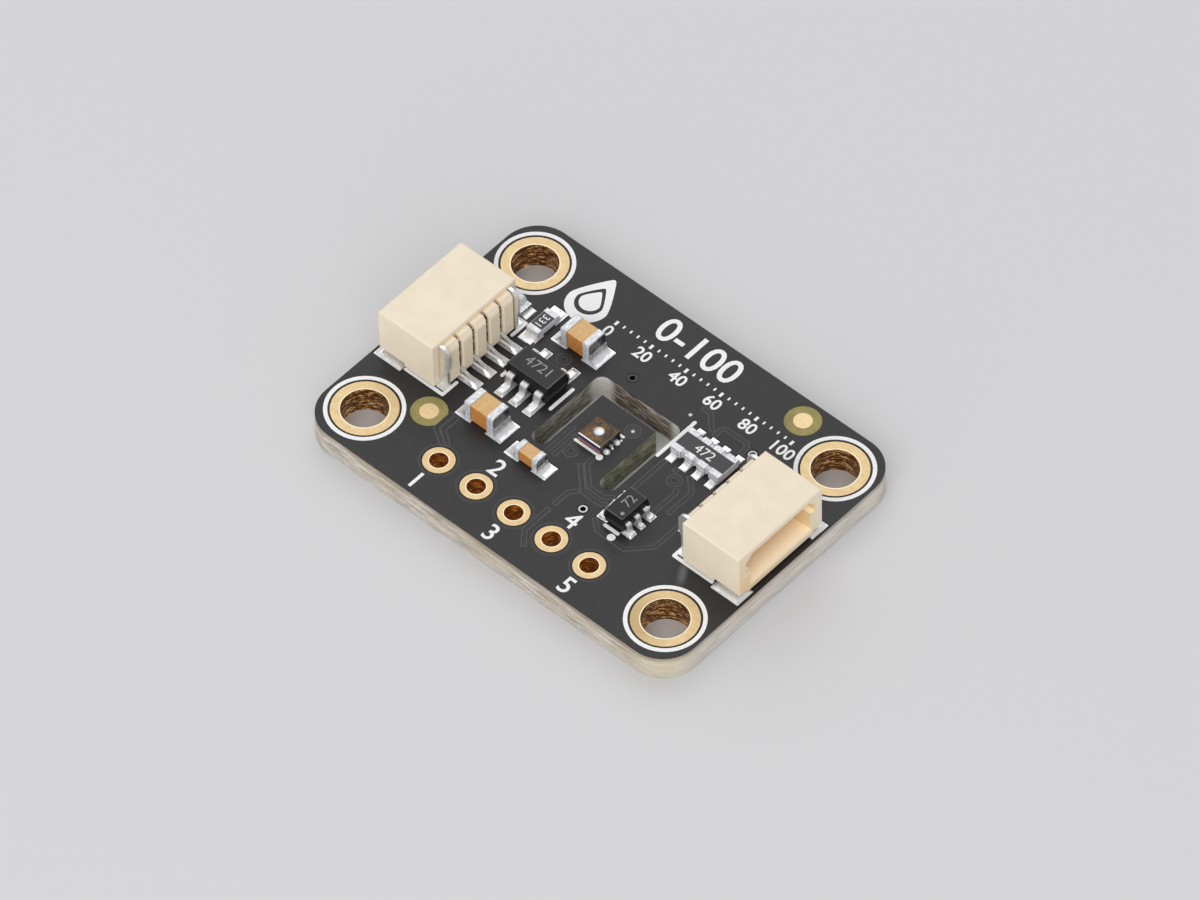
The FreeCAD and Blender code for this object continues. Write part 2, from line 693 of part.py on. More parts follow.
def cavity_cutter():
    """The mating opening: a wide throat with a key slot at each side."""
    half = SOCKET_WIDTH / 2 - SIDE_WALL
    key_half = SOCKET_WIDTH / 2 - KEY_SIDE_WALL
    key_top = CAVITY_CEILING - KEY_DROP
    key_bottom = key_top - KEY_HEIGHT
    top_half = key_half - OPENING_CORNER_CUT
    throat = [
        (-half, CAVITY_FLOOR),
        (half, CAVITY_FLOOR),
        (half, key_top),
        (top_half, CAVITY_CEILING),
        (-top_half, CAVITY_CEILING),
        (-half, key_top),
    ]
    cutter = prism_along_x(throat, CAVITY_REAR, THROUGH)
    keys = [
        (-key_half, key_bottom),
        (key_half, key_bottom),
        (key_half, key_top),
        (top_half, CAVITY_CEILING),
        (-top_half, CAVITY_CEILING),
        (-key_half, key_top),
    ]
    cutter = cutter.fuse(prism_along_x(keys, -KEY_DEPTH, THROUGH))
    lead_in = [
        (-LEAD_IN_CHAMFER, CAVITY_FLOOR + SLIVER),
        (THROUGH, CAVITY_FLOOR - LEAD_IN_CHAMFER - THROUGH),
        (THROUGH, CAVITY_FLOOR + SLIVER),
    ]
    return cutter.fuse(prism_along_y(lead_in, -half, half))


def tab_slot(side):
    """The pocket in a side wall that holds the solder tab's blade."""
    room = TAB_THICKNESS / 2 + TAB_CLEARANCE
    y0 = side * TAB_CENTRE_Y - room
    y1 = side * TAB_CENTRE_Y + room
    rear = PLATE_REAR - THROUGH
    step = TAB_TALL_LENGTH - TAB_REAR_REACH - SOCKET_DEPTH + TAB_CLEARANCE
    front = TAB_CLEARANCE - TAB_FRONT_SETBACK
    top = SOCKET_TOP - TAB_TOP_GAP + TAB_CLEARANCE
    tall = box(rear, step, y0, y1, -THROUGH, top)
    return tall.fuse(box(step - THROUGH, front, y0, y1, -THROUGH, TAB_LOW_HEIGHT + TAB_CLEARANCE))


def foot_notches(side):
    """The steps in the housing's underside over a tab's heel and foot."""
    inner = TAB_CENTRE_Y - TAB_THICKNESS / 2 - TAB_CLEARANCE
    outer = SOCKET_WIDTH / 2 + THROUGH
    y0, y1 = sorted((side * inner, side * outer))
    foot = box(-TAB_NOTCH_LENGTH, THROUGH, y0, y1, -THROUGH, SOCKET_LIFT + TAB_NOTCH_HEIGHT)
    heel_front = -SOCKET_DEPTH - TAB_REAR_REACH + TAB_SHOULDER_STEP + TAB_HEEL_LENGTH
    outer = TAB_CENTRE_Y + TAB_THICKNESS / 2 + TAB_HEEL_REACH + TAB_CLEARANCE
    y0, y1 = sorted((side * inner, side * outer))
    heel_top = SILK_THICKNESS + TAB_FOOT_THICKNESS + TAB_CLEARANCE
    heel = box(-SOCKET_DEPTH - THROUGH, heel_front + TAB_CLEARANCE, y0, y1, -THROUGH, heel_top)
    return [foot, heel]


def socket_housing():
    half = SOCKET_WIDTH / 2
    shell = box(PLATE_REAR, 0, -half, half, SOCKET_LIFT, SOCKET_TOP)
    eased = [e for e in shell.Edges if min(v.Z for v in e.Vertexes) > SOCKET_TOP - SOCKET_EDGE_RADIUS]
    shell = shell.makeFillet(SOCKET_EDGE_RADIUS, eased)
    ribs = [housing_rib((i - CONTACT_COUNT / 2) * CONTACT_PITCH) for i in range(CONTACT_COUNT + 1)]
    shell = shell.fuse(ribs)
    tools = [cavity_cutter()]
    room = CONTACT_THICKNESS / 2 + CONTACT_CLEARANCE
    for y in contact_rows():
        tools.append(
            box(
                PLATE_REAR - THROUGH,
                CAVITY_REAR + THROUGH / 2,
                y - room,
                y + room,
                PRONG_BASE_HEIGHT - CONTACT_CLEARANCE,
                PRONG_BASE_HEIGHT + PRONG_THICKNESS + CONTACT_CLEARANCE,
            )
        )
    for side in (-1, 1):
        tools.append(tab_slot(side))
        tools.extend(foot_notches(side))
    return shell.cut(tools).removeSplitter()


def socket_contact(y):
    web_front = PLATE_REAR - CONTACT_CLEARANCE
    web_rear = web_front - WEB_DEPTH
    toe = -SOCKET_DEPTH - TAIL_LENGTH
    prong_top = PRONG_BASE_HEIGHT + PRONG_THICKNESS
    outline = [
        (toe, LAND_STEP),
        (web_front, LAND_STEP),
        (web_front, PRONG_BASE_HEIGHT),
        (-PRONG_SETBACK - PRONG_TAPER, PRONG_BASE_HEIGHT),
        (-PRONG_SETBACK, PRONG_BASE_HEIGHT + PRONG_TAPER),
        (-PRONG_SETBACK, prong_top - PRONG_TAPER),
        (-PRONG_SETBACK - PRONG_TAPER, prong_top),
        (web_front, prong_top),
        (web_front, WEB_HEIGHT - WEB_CORNER),
        (web_front - WEB_CORNER, WEB_HEIGHT),
        (web_rear + WEB_CORNER, WEB_HEIGHT),
        (web_rear, WEB_HEIGHT - WEB_CORNER),
        (web_rear, TAIL_HEEL_HEIGHT),
        (toe, LAND_STEP + TAIL_TOE_HEIGHT),
    ]
    return prism_along_y(outline, y - CONTACT_THICKNESS / 2, y + CONTACT_THICKNESS / 2)


def is_corner(edge, x, z):
    """Whether an edge runs along Y through the corner at (x, z)."""
    return all(abs(v.X - x) < SLIVER and abs(v.Z - z) < SLIVER for v in edge.Vertexes)


def socket_tab(side):
    """Sheet blade in the side wall, with a heel behind and a foot in front."""
    rear = -SOCKET_DEPTH - TAB_REAR_REACH
    low_rear = rear + TAB_SHOULDER_STEP
    step = rear + TAB_TALL_LENGTH
    front = -TAB_FRONT_SETBACK
    top = SOCKET_TOP - TAB_TOP_GAP
    outline = [
        (low_rear, TAB_BOTTOM_GAP),
        (front, TAB_BOTTOM_GAP),
        (front, TAB_LOW_HEIGHT),
        (step, TAB_LOW_HEIGHT),
        (step, top),
        (rear, top),
        (rear, TAB_SHOULDER_HEIGHT),
        (low_rear, TAB_SHOULDER_HEIGHT - TAB_SHOULDER_SLOPE),
    ]
    y0 = side * TAB_CENTRE_Y - TAB_THICKNESS / 2
    y1 = side * TAB_CENTRE_Y + TAB_THICKNESS / 2
    blade = prism_along_y(outline, y0, y1)
    crown = [e for e in blade.Edges if is_corner(e, rear, top)]
    blade = blade.makeFillet(TAB_CORNER_RADIUS, crown)
    inner = TAB_CENTRE_Y - TAB_THICKNESS / 2
    outer = TAB_CENTRE_Y + TAB_THICKNESS / 2
    feet = []
    for x0, length, reach, z0 in (
        (low_rear, TAB_HEEL_LENGTH, TAB_HEEL_REACH, SILK_THICKNESS),
        (front - TAB_FOOT_LENGTH, TAB_FOOT_LENGTH, TAB_FOOT_REACH, LAND_STEP),
    ):
        y0, y1 = sorted((side * inner, side * (outer + reach)))
        feet.append(box(x0, x0 + length, y0, y1, z0, z0 + TAB_FOOT_THICKNESS))
    return blade.fuse(feet).removeSplitter()


def on_board(shape, sign):
    """Place a socket piece: sign 1 faces the right edge, -1 the left edge."""
    return turned(shape, 0 if sign > 0 else 180, (sign * SOCKET_FRONT_X, 0), MASK_TOP)


def socket_parts(sign):
    housing = on_board(socket_housing(), sign)
    contacts = group([on_board(socket_contact(y), sign) for y in contact_rows()])
    tabs = group([on_board(socket_tab(side), sign) for side in (-1, 1)])
    return housing, contacts, tabs


def packaged_body(place, size, standoff, parting, draft):
    """A moulded body whose four sides lean in above and below the parting line."""
    length, width, height = size
    z0 = LAND_TOP + standoff
    levels = [
        (z0, length - 2 * draft, width - 2 * draft),
        (LAND_TOP + parting, length, width),
        (z0 + height, length - 2 * draft, width - 2 * draft),
    ]
    return tapered_block(place, levels)


def gull_wing(body_half, reach, shoulder, foot, height, thickness, bend, width):
    """A lead along +X that leaves the body, bends down and ends in a flat foot."""
    tip = body_half + reach
    points = [
        (body_half - thickness / 2, height),
        (body_half + shoulder, height),
        (tip - foot, thickness / 2),
        (tip, thickness / 2),
    ]
    return bent_strip(points, thickness, bend, width)


def regulator_leads():
    lead = gull_wing(
        REGULATOR_BODY[1] / 2,
        REGULATOR_LEAD_REACH,
        REGULATOR_LEAD_SHOULDER,
        REGULATOR_LEAD_FOOT,
        REGULATOR_LEAD_HEIGHT,
        REGULATOR_LEAD_THICKNESS,
        REGULATOR_LEAD_BEND,
        REGULATOR_LEAD_WIDTH,
    )
    x, y = REGULATOR_PLACE
    rows = [(-90, i) for i in (-1, 0, 1)] + [(90, i) for i in (-1, 1)]
    return [turned(lead, angle, (x + i * REGULATOR_LEAD_PITCH, y), LAND_TOP) for angle, i in rows]


def shifter_leads():
    lead = gull_wing(
        SHIFTER_BODY[0] / 2,
        SHIFTER_LEAD_REACH,
        SHIFTER_LEAD_SHOULDER,
        SHIFTER_LEAD_FOOT,
        SHIFTER_LEAD_HEIGHT,
        SHIFTER_LEAD_THICKNESS,
        SHIFTER_LEAD_BEND,
        SHIFTER_LEAD_WIDTH,
    )
    x, y = SHIFTER_PLACE
    return [
        turned(lead, angle, (x, y + row * SHIFTER_LEAD_PITCH), LAND_TOP)
        for angle in (0, 180)
        for row in (-1, 0, 1)
    ]


def regulator_body():
    body = packaged_body(
        REGULATOR_PLACE, REGULATOR_BODY, REGULATOR_STANDOFF, REGULATOR_LEAD_HEIGHT, REGULATOR_DRAFT
    )
    return body.cut(regulator_leads())


def shifter_body():
    body = packaged_body(
        SHIFTER_PLACE, SHIFTER_BODY, SHIFTER_STANDOFF, SHIFTER_LEAD_HEIGHT, SHIFTER_DRAFT
    )
    return body.cut(shifter_leads())


def array_notches():
    """Round bites along both long edges, one between each two terminals."""
    x, y = ARRAY_PLACE
    places = [
        (x + i * ARRAY_PITCH, y + side * ARRAY_BODY[1] / 2) for side in (-1, 1) for i in (-1, 0, 1)
    ]
    return [cylinder(p, ARRAY_NOTCH_RADIUS, LAND_TOP - THROUGH, LAND_TOP + THROUGH) for p in places]


def array_body():
    length, width, height = ARRAY_BODY
    core = (length, width - 2 * CHIP_PLATING, height - 2 * CHIP_PLATING)
    return block(ARRAY_PLACE, core, LAND_TOP + CHIP_PLATING).cut(array_notches())


def array_coating():
    length, width, height = ARRAY_BODY
    size = (length - 2 * COATING_INSET, width - 2 * ARRAY_TERMINAL_BAND, COATING_THICKNESS)
    return block(ARRAY_PLACE, size, LAND_TOP + height - CHIP_PLATING)


def array_terminals():
    """Eight plated wraps, each round one long edge of the ceramic."""
    x, y = ARRAY_PLACE
    length, width, height = ARRAY_BODY
    core = block(ARRAY_PLACE, (length, width - 2 * CHIP_PLATING, height - 2 * CHIP_PLATING),
                 LAND_TOP + CHIP_PLATING)
    terminals = []
    for side in (-1, 1):
        for i in range(4):
            left = x + (i - 2) * ARRAY_PITCH + (ARRAY_NOTCH_RADIUS if i else 0)
            right = x + (i - 1) * ARRAY_PITCH - (ARRAY_NOTCH_RADIUS if i < 3 else 0)
            y0, y1 = sorted((y + side * (width / 2 - ARRAY_TERMINAL_BAND), y + side * width / 2))
            wrap = box(left, right, y0, y1, LAND_TOP, LAND_TOP + height)
            terminals.append(wrap.cut(core))
    return terminals


def wrap_terminals(place, size, band):
    """The two plated ends of a flat chip that lies along X."""
    x, y = place
    length, width, height = size
    core = block(place, (length - 2 * CHIP_PLATING, width + THROUGH, height - 2 * CHIP_PLATING),
                 LAND_TOP + CHIP_PLATING)
    ends = []
    for side in (-1, 1):
        x0, x1 = sorted((x + side * (length / 2 - band), x + side * length / 2))
        wrap = box(x0, x1, y - width / 2, y + width / 2, LAND_TOP, LAND_TOP + height)
        ends.append(wrap.cut(core))
    return ends


def chip_core(place, size):
    length, width, height = size
    core = (length - 2 * CHIP_PLATING, width, height - 2 * CHIP_PLATING)
    return block(place, core, LAND_TOP + CHIP_PLATING)


def across(shapes, place):
    """Turn pieces built along X over a place so that they lie along Y."""
    turned_shapes = []
    for shape in shapes:
        copy = shape.copy()
        copy.rotate(Vector(place[0], place[1], 0), Vector(0, 0, 1), 90)
        turned_shapes.append(copy)
    return turned_shapes


def resistor_parts():
    size = (RESISTOR_BODY[1], RESISTOR_BODY[0], RESISTOR_BODY[2])
    coat = (size[0] - 2 * RESISTOR_BAND, size[1] - 2 * COATING_INSET, COATING_THICKNESS)
    core = chip_core(RESISTOR_PLACE, size)
    coating = block(RESISTOR_PLACE, coat, LAND_TOP + size[2] - CHIP_PLATING)
    ends = wrap_terminals(RESISTOR_PLACE, size, RESISTOR_BAND)
    core, coating = across([core, coating], RESISTOR_PLACE)
    return core, coating, across(ends, RESISTOR_PLACE)


def lamp_parts():
    base = chip_core(LAMP_PLACE, LAMP_BASE)
    ends = wrap_terminals(LAMP_PLACE, LAMP_BASE, LAMP_BAND)
    z0 = LAND_TOP + LAMP_BASE[2] - CHIP_PLATING
    levels = [
        (z0, LAMP_LENS_LENGTH, LAMP_BASE[1]),
        (z0 + LAMP_LENS_HEIGHT, LAMP_LENS_TOP, LAMP_BASE[1]),
    ]
    lens = tapered_block(LAMP_PLACE, levels)
    crown = [e for e in lens.Edges if min(v.Z for v in e.Vertexes) > z0 + LAMP_LENS_HEIGHT / 2]
    return base, lens.makeFillet(LAMP_LENS_RADIUS, crown), ends


def capacitor_parts(place, size, band):
    """A ceramic block in two rounded metal cups."""
    length, width, height = size
    x, y = place
    wall = CAPACITOR_CAP_WALL
    core = block(place, (length - 2 * wall, width - 2 * wall, height - 2 * wall), LAND_TOP + wall)
    skin = block(place, size, LAND_TOP)
    skin = skin.makeFillet(CAPACITOR_EDGE_RADIUS, skin.Edges)
    rounded_core = core.makeFillet(CAPACITOR_EDGE_RADIUS - wall, core.Edges)
    ends = []
    for side in (-1, 1):
        x0, x1 = sorted((x + side * (length / 2 - band), x + side * (length / 2 + THROUGH)))
        room = box(x0, x1, y - width, y + width, LAND_TOP - THROUGH, LAND_TOP + height + THROUGH)
        ends.append(skin.common(room).cut(rounded_core))
    return rounded_core, ends


def sensor_body():
    body = block((0, 0), (SENSOR_SIZE, SENSOR_SIZE, SENSOR_HEIGHT), LAND_TOP + SENSOR_STANDOFF)
    top = LAND_TOP + SENSOR_STANDOFF + SENSOR_HEIGHT
    crown = [e for e in body.Edges if min(v.Z for v in e.Vertexes) > top - SENSOR_CHAMFER]
    body = body.makeChamfer(SENSOR_CHAMFER, crown)
    port = cylinder((0, 0), SENSOR_PORT_RADIUS, top - SENSOR_PORT_DEPTH, top + THROUGH)
    return body.cut([port] + sensor_contacts())


def sensor_membrane():
    top = LAND_TOP + SENSOR_STANDOFF + SENSOR_HEIGHT
    floor = top - SENSOR_PORT_DEPTH
    return cylinder((0, 0), SENSOR_PORT_RADIUS, floor, floor + SENSOR_MEMBRANE_THICKNESS)


def sensor_contacts():
    """Four terminals under the edges and a tie end in the middle of two sides."""
    size = SENSOR_CONTACT + (SENSOR_STANDOFF,)
    pieces = [block(place, size, LAND_TOP) for place in sensor_rows(0, SENSOR_CONTACT[0])]
    for side in (-1, 1):
        centre = side * (SENSOR_SIZE / 2 + SENSOR_TIE_REACH - SENSOR_TIE[0] / 2)
        pieces.append(block((centre, 0), SENSOR_TIE, LAND_TOP))
    return pieces


def foot_solder(land, pieces, height=SOLDER_FOOT_HEIGHT, crest=None, shift=0.0, bevel=SOLDER_FOOT_CHAMFER):
    """A bevelled mound over one land, hollowed by the foot that stands in it."""
    x, y, length, width = land
    base = (length - 2 * SOLDER_MARGIN, width - 2 * SOLDER_MARGIN)
    top = crest or (base[0] * SOLDER_CREST_RATIO, base[1] * SOLDER_CREST_RATIO)
    wires = []
    for z, centre, size in ((0, x, base), (height, x + shift, top)):
        corners = [
            Vector(centre + sx * size[0] / 2, y + sy * size[1] / 2, LAND_TOP + z)
            for sx, sy in ((-1, -1), (1, -1), (1, 1), (-1, 1))
        ]
        wires.append(Part.makePolygon(corners + corners[:1]))
    mound = Part.makeLoft(wires, True, True)
    raised = [edge for edge in mound.Edges if edge.BoundBox.ZMax > LAND_TOP + height / 2]
    return mound.makeChamfer(bevel, raised).cut(pieces)


def solder_ramp(run, rise, breadth):
    """A hollow fillet from the foot of an end face, along +X and centred on y = 0."""
    toe = Vector(run, 0, SOLDER_TOE)
    head = Vector(SOLDER_TOE, 0, rise)
    hollow = Part.BezierCurve()
    hollow.setPoles([toe, Vector(run * SOLDER_HOLLOW_RATIO, 0, rise * SOLDER_HOLLOW_RATIO), head])
    corners = [head, Vector(0, 0, rise), Vector(0, 0, 0), Vector(run, 0, 0), toe]
    wire = Part.Wire([hollow.toShape()] + Part.makePolygon(corners).Edges)
    ramp = Part.Face(wire).extrude(Vector(0, breadth, 0))
    ramp.translate(Vector(0, -breadth / 2, 0))
    return ramp


def end_solder(land, place, size, along_y=False):
    """The fillet that climbs one end of a chip from its land."""
    axis = 1 if along_y else 0
    outward = land[axis] - place[axis]
    chip_half = size[axis] / 2
    run = abs(outward) + land[2 + axis] / 2 - chip_half - SOLDER_MARGIN
    breadth = min(land[3 - axis], size[1 - axis]) - 2 * SOLDER_MARGIN
    ramp = solder_ramp(run, size[2] * SOLDER_CLIMB_RATIO, breadth)
    ramp.translate(Vector(chip_half, 0, 0))
    angle = (90 if along_y else 0) + (180 if outward < 0 else 0)
    spot = (land[0], place[1]) if along_y else (place[0], land[1])
    return turned(ramp, angle, spot, LAND_TOP)


def socket_solder(sign, housing, contacts, tabs):
    joints = []
    tails = contacts.Solids + [housing]
    feet = tabs.Solids + [housing]
    for land in socket_lands():
        if land[0] * sign < 0:
            continue
        if land[2] == SIGNAL_LAND_LENGTH:
            shift = sign * SOLDER_TAIL_SHIFT
            height, crest = SOLDER_TAIL_HEIGHT, SOLDER_TAIL_CREST
            joints.append(foot_solder(land, tails, height, crest, shift, SOLDER_TAIL_CHAMFER))
        else:
            joints.append(foot_solder(land, feet))
    return joints


def chip_solder():
    joints = []
    for name, place, size in (
        ("resistor", RESISTOR_PLACE, RESISTOR_BODY),
        ("lamp", LAMP_PLACE, LAMP_BASE),
        ("input", INPUT_CAPACITOR_PLACE, BULK_CAPACITOR_BODY),
        ("output", OUTPUT_CAPACITOR_PLACE, BULK_CAPACITOR_BODY),
        ("small", SMALL_CAPACITOR_PLACE, SMALL_CAPACITOR_BODY),
    ):
        for land in CHIP_LANDS[name]:
            joints.append(end_solder(land, place, size, name == "resistor"))
    for land in array_lands():
        x, y, length, width = land
        middle = (x, ARRAY_PLACE[1])
        joints.append(end_solder(land, middle, ARRAY_BODY, True))
    return joints


def lead_solder():
    joints = []
    for lands, body, leads in (
        (regulator_lands(), regulator_body(), regulator_leads()),
        (shifter_lands(), shifter_body(), shifter_leads()),
    ):
        joints.extend(foot_solder(land, leads + [body]) for land in lands)
    body = block((0, 0), (SENSOR_SIZE, SENSOR_SIZE, SENSOR_HEIGHT), LAND_TOP)
    for land in sensor_lands():
        joints.append(foot_solder(land, [body], SOLDER_SENSOR_HEIGHT))
    return joints


def write_parts():
    nodes = {
        "printed_board": printed_board(),
        "top_solder_mask": top_solder_mask(),
        "mounting_hole_plating": eyelets("mounting"),
        "header_hole_plating": eyelets("header"),
        "via_plating": eyelets("via"),
        "fiducial_dots": fiducial_dots(),
        "silkscreen_marks": silkscreen_marks(),
        "socket_pads": group(land_blocks(socket_lands(), LAMINATE_TOP, COPPER_THICKNESS)),
        "component_pads": group(land_blocks(component_lands(), LAMINATE_TOP, COPPER_THICKNESS)),
        "regulator_body": regulator_body(),
        "regulator_leads": group(regulator_leads()),
        "level_shifter_body": shifter_body(),
        "level_shifter_leads": group(shifter_leads()),
        "resistor_array_body": array_body(),
        "resistor_array_coating": array_coating(),
        "resistor_array_terminals": group(array_terminals()),
        "sensor_body": sensor_body(),
        "sensor_membrane": sensor_membrane(),
        "sensor_contacts": group(sensor_contacts()),
        "chip_solder": group(chip_solder()),
        "lead_solder": group(lead_solder()),
    }
    for name, sign in (("left", -1), ("right", 1)):
        housing, contacts, tabs = socket_parts(sign)
        nodes[name + "_socket_housing"] = housing
        nodes[name + "_socket_contacts"] = contacts
        nodes[name + "_socket_tabs"] = tabs
        nodes[name + "_socket_solder"] = group(socket_solder(sign, housing, contacts, tabs))
    core, coating, ends = resistor_parts()
    nodes["chip_resistor_body"] = core
    nodes["chip_resistor_coating"] = coating
    nodes["chip_resistor_terminals"] = group(ends)
    base, lens, ends = lamp_parts()
    nodes["power_lamp_base"] = base
    nodes["power_lamp_lens"] = lens
    nodes["power_lamp_terminals"] = group(ends)
    for name, place, size, band in (
        ("input_capacitor", INPUT_CAPACITOR_PLACE, BULK_CAPACITOR_BODY, BULK_CAPACITOR_BAND),
        ("output_capacitor", OUTPUT_CAPACITOR_PLACE, BULK_CAPACITOR_BODY, BULK_CAPACITOR_BAND),
        ("small_capacitor", SMALL_CAPACITOR_PLACE, SMALL_CAPACITOR_BODY, SMALL_CAPACITOR_BAND),
    ):
        core, ends = capacitor_parts(place, size, band)
        nodes[name + "_body"] = core
        nodes[name + "_terminals"] = group(ends)
    os.makedirs("parts", exist_ok=True)
    for name, shape in nodes.items():
        shape.exportStep(os.path.join("parts", name + ".step"))


write_parts()
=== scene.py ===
import math

import bpy
from mathutils import Matrix, Vector


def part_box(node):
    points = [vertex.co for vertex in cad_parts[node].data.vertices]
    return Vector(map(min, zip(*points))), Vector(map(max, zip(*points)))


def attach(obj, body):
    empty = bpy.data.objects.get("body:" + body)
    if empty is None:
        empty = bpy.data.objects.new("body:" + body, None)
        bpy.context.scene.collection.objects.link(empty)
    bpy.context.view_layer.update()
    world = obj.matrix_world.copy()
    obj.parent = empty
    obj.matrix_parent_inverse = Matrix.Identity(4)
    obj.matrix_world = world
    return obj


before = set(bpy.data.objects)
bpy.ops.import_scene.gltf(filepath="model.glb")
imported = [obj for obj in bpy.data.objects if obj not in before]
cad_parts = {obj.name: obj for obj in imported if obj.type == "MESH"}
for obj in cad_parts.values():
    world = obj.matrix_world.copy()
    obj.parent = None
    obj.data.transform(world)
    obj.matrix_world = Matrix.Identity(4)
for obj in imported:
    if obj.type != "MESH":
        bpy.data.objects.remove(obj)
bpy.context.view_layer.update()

# Lengths and places are millimetres of the CAD frame, unless a heading says otherwise
MM = 0.001
BOARD_TOP = 1.6

# Camera: the view of the photograph, with its angles in degrees
VIEW_AZIMUTH = 43.401
VIEW_ELEVATION = 50.834
VIEW_DISTANCE = 517.95
VIEW_ROLL = -1.555
VIEW_SHIFT = (-0.008, -0.433)
VIEW_LENS = 309.43
SENSOR_WIDTH = 36.0

# Near limit of the camera, lights and floor, in metres and watts
NEAR_CLIP = 0.01
SKY_LEVEL = 0.50
KEY_POWER = 0.66
KEY_SIZE = 0.50
KEY_PLACE = (-0.202, 0.213, 0.360)
FILL_POWER = 1.95
FILL_SIZE = 0.70
FILL_PLACE = (0.185, -0.370, 0.275)
FLOOR_SIZE = 6.0
FLOOR_COLOUR = (214, 214, 216)

# Plated holes: the bores, how far the painted highlight on their lips reaches past them, the
# header's area, and a darker area of painted shade
MOUNT_X = 10.16
MOUNT_Y = 6.35
MOUNT_RADIUS = 1.25
MOUNT_LIP = 0.07
HEADER_HOLES = 5
HEADER_X = -5.08
HEADER_Y = -6.35
HEADER_PITCH = 2.54
HEADER_RADIUS = 0.5
HEADER_LIP = 0.06
LIP_START = 0.02
HEADER_SPAN_X = (-5.8, 5.8)
HEADER_SPAN_Y = (-7.0, -5.7)
PAINTED_SHADE_PATCH = (9.3, -7.2, 2.1)

# Vias: place and ring radius of the covered ones, whose hollows get painted shade, the bright
# points of painted glints and the bare rings
COVERED_VIAS = ((0.96, 1.45, 0.32), (-0.52, -1.54, 0.28), (4.64, 0.48, 0.30), (-4.79, 2.64, 0.28))
VIA_HOLLOW = 0.24
VIA_GLINTS = ((0.96, 1.45), (2.40, 4.16))
GLINT_REACH = 0.12
BARE_VIAS = ((2.43, -3.89), (6.45, 4.3))
BARE_VIA_REACH = 0.245

# Coating: the painted highlight on its slopes over copper, and a smear beside the right socket
PAINTED_SLOPE_HIGHLIGHT = (76, 76, 78)
SMEAR_START = (8.6, -3.2)
SMEAR_END = (9.2, -4.15)
SMEAR_WIDTH = 0.32

# Laminate: openings round the alignment dots, paler corners, the slot and its torn ends
DOTS = ((-7.61, -4.33), (6.89, 7.61))
DOT_OPENING = 1.2
PALE_CORNERS = ((12.0, -8.4, 2.8), (-12.2, -7.6, 1.6))
SLOT_SPAN_X = (-2.95, 2.95)
SLOT_SPAN_Y = (-2.4, 3.35)
ISLAND_WALL_SPAN = (1.0, 3.0)
TORN_ENDS = ((-2.6, 3.05, 0.85), (2.62, 3.05, 0.8), (-2.6, -2.15, 0.5), (2.0, -2.2, 0.62))

# Sockets: the mouth inside the housing, painted with orange shade and glow, the ribs behind it, and
# the frame round it, painted with orange shade low down
MOUTH_REAR = (8.3, 8.5)
MOUTH_SPAN_Y = (-2.72, 2.72)
MOUTH_SPAN_Z = (2.02, 4.42)
MOUTH_SOFT = 0.02
RIBS_FADE = (8.2, 7.9)
FRAME_FADE_Y = (2.4, -2.4)
FRAME_FADE_Z = (5.2, 2.4)
GAP_FOOT = (2.15, 2.4)

# Packages: share of the width that the drawn-in top keeps, and the band of painted highlight along
# it
TOP_SHARE = 0.93
PAINTED_HIGHLIGHT_BAND = (0.07, 0.01)

# Sensor: the round window with a painted glow round it, an amber cloud, and rows of pads seen
# through the top
WINDOW_REACH = 0.31
PORT_REACH = 0.3
AMBER_CLOUD = (-0.1, -0.25, 0.85)
FAR_PADS = (0.36, 0.12)
NEAR_PADS = (0.12, 0.42)
COPPER_LAYER = (0.04, 0.17)
LAYER_SOFT = 0.04

# Print in the coating's white ink
INK_LIFT = 0.006
TITLE_CENTRE = (-0.03, 7.57)
TITLE_HEIGHT = 1.64
PRINT_WEIGHT = 0.012
SCALE_BOX = (-4.39, 5.12, 7.43, 6.30)
SCALE_STEPS = 6
SCALE_UNITS = 20
SCALE_TICKS = 26
LONG_TICK = (0.08, 0.3)
SHORT_TICK = (0.05, 0.2)
SCALE_NUMBER_HEIGHT = 0.74
SCALE_WEIGHT = 0.02
LABEL_HEIGHT = 1.06
LABELS_ABOVE_Y = -5.30
LABELS_BELOW_Y = -8.55
LETTER_STEPS = 4

# Drop mark: its outline, then how much lower, narrower and shorter its gap and core are
DROP_CENTRE = (-6.32, 6.55)
DROP_RADIUS = 1.22
DROP_HEIGHT = 3.30
DROP_TAPER = 0.62
DROP_TAPER_POWER = 1.4
DROP_RISE_POWER = 1.15
DROP_CORNERS = 72
DROP_GAP = (0.1, 0.42, 1.3)
DROP_CORE = (0.12, 0.62, 1.85)

# Pin mark of the transistor pair, from the middle of its top
PIN_MARK = (0.3, -0.62)
PIN_MARK_RADIUS = 0.11
PIN_MARK_CORNERS = 24

# Solder beads at the sensor's side: place and radius of each, and their uneven shape
BEADS = ((0.9, -0.42, 0.15), (0.93, -0.05, 0.08), (0.9, 0.38, 0.14), (0.93, 0.62, 0.07))
BEAD_RINGS = 7
BEAD_SIDES = 16
BEAD_RISE = 1.3
BEAD_OVAL = 0.12
BEAD_TWIST = 9
BEAD_RIPPLE = 0.06
BEAD_RIPPLES = 5

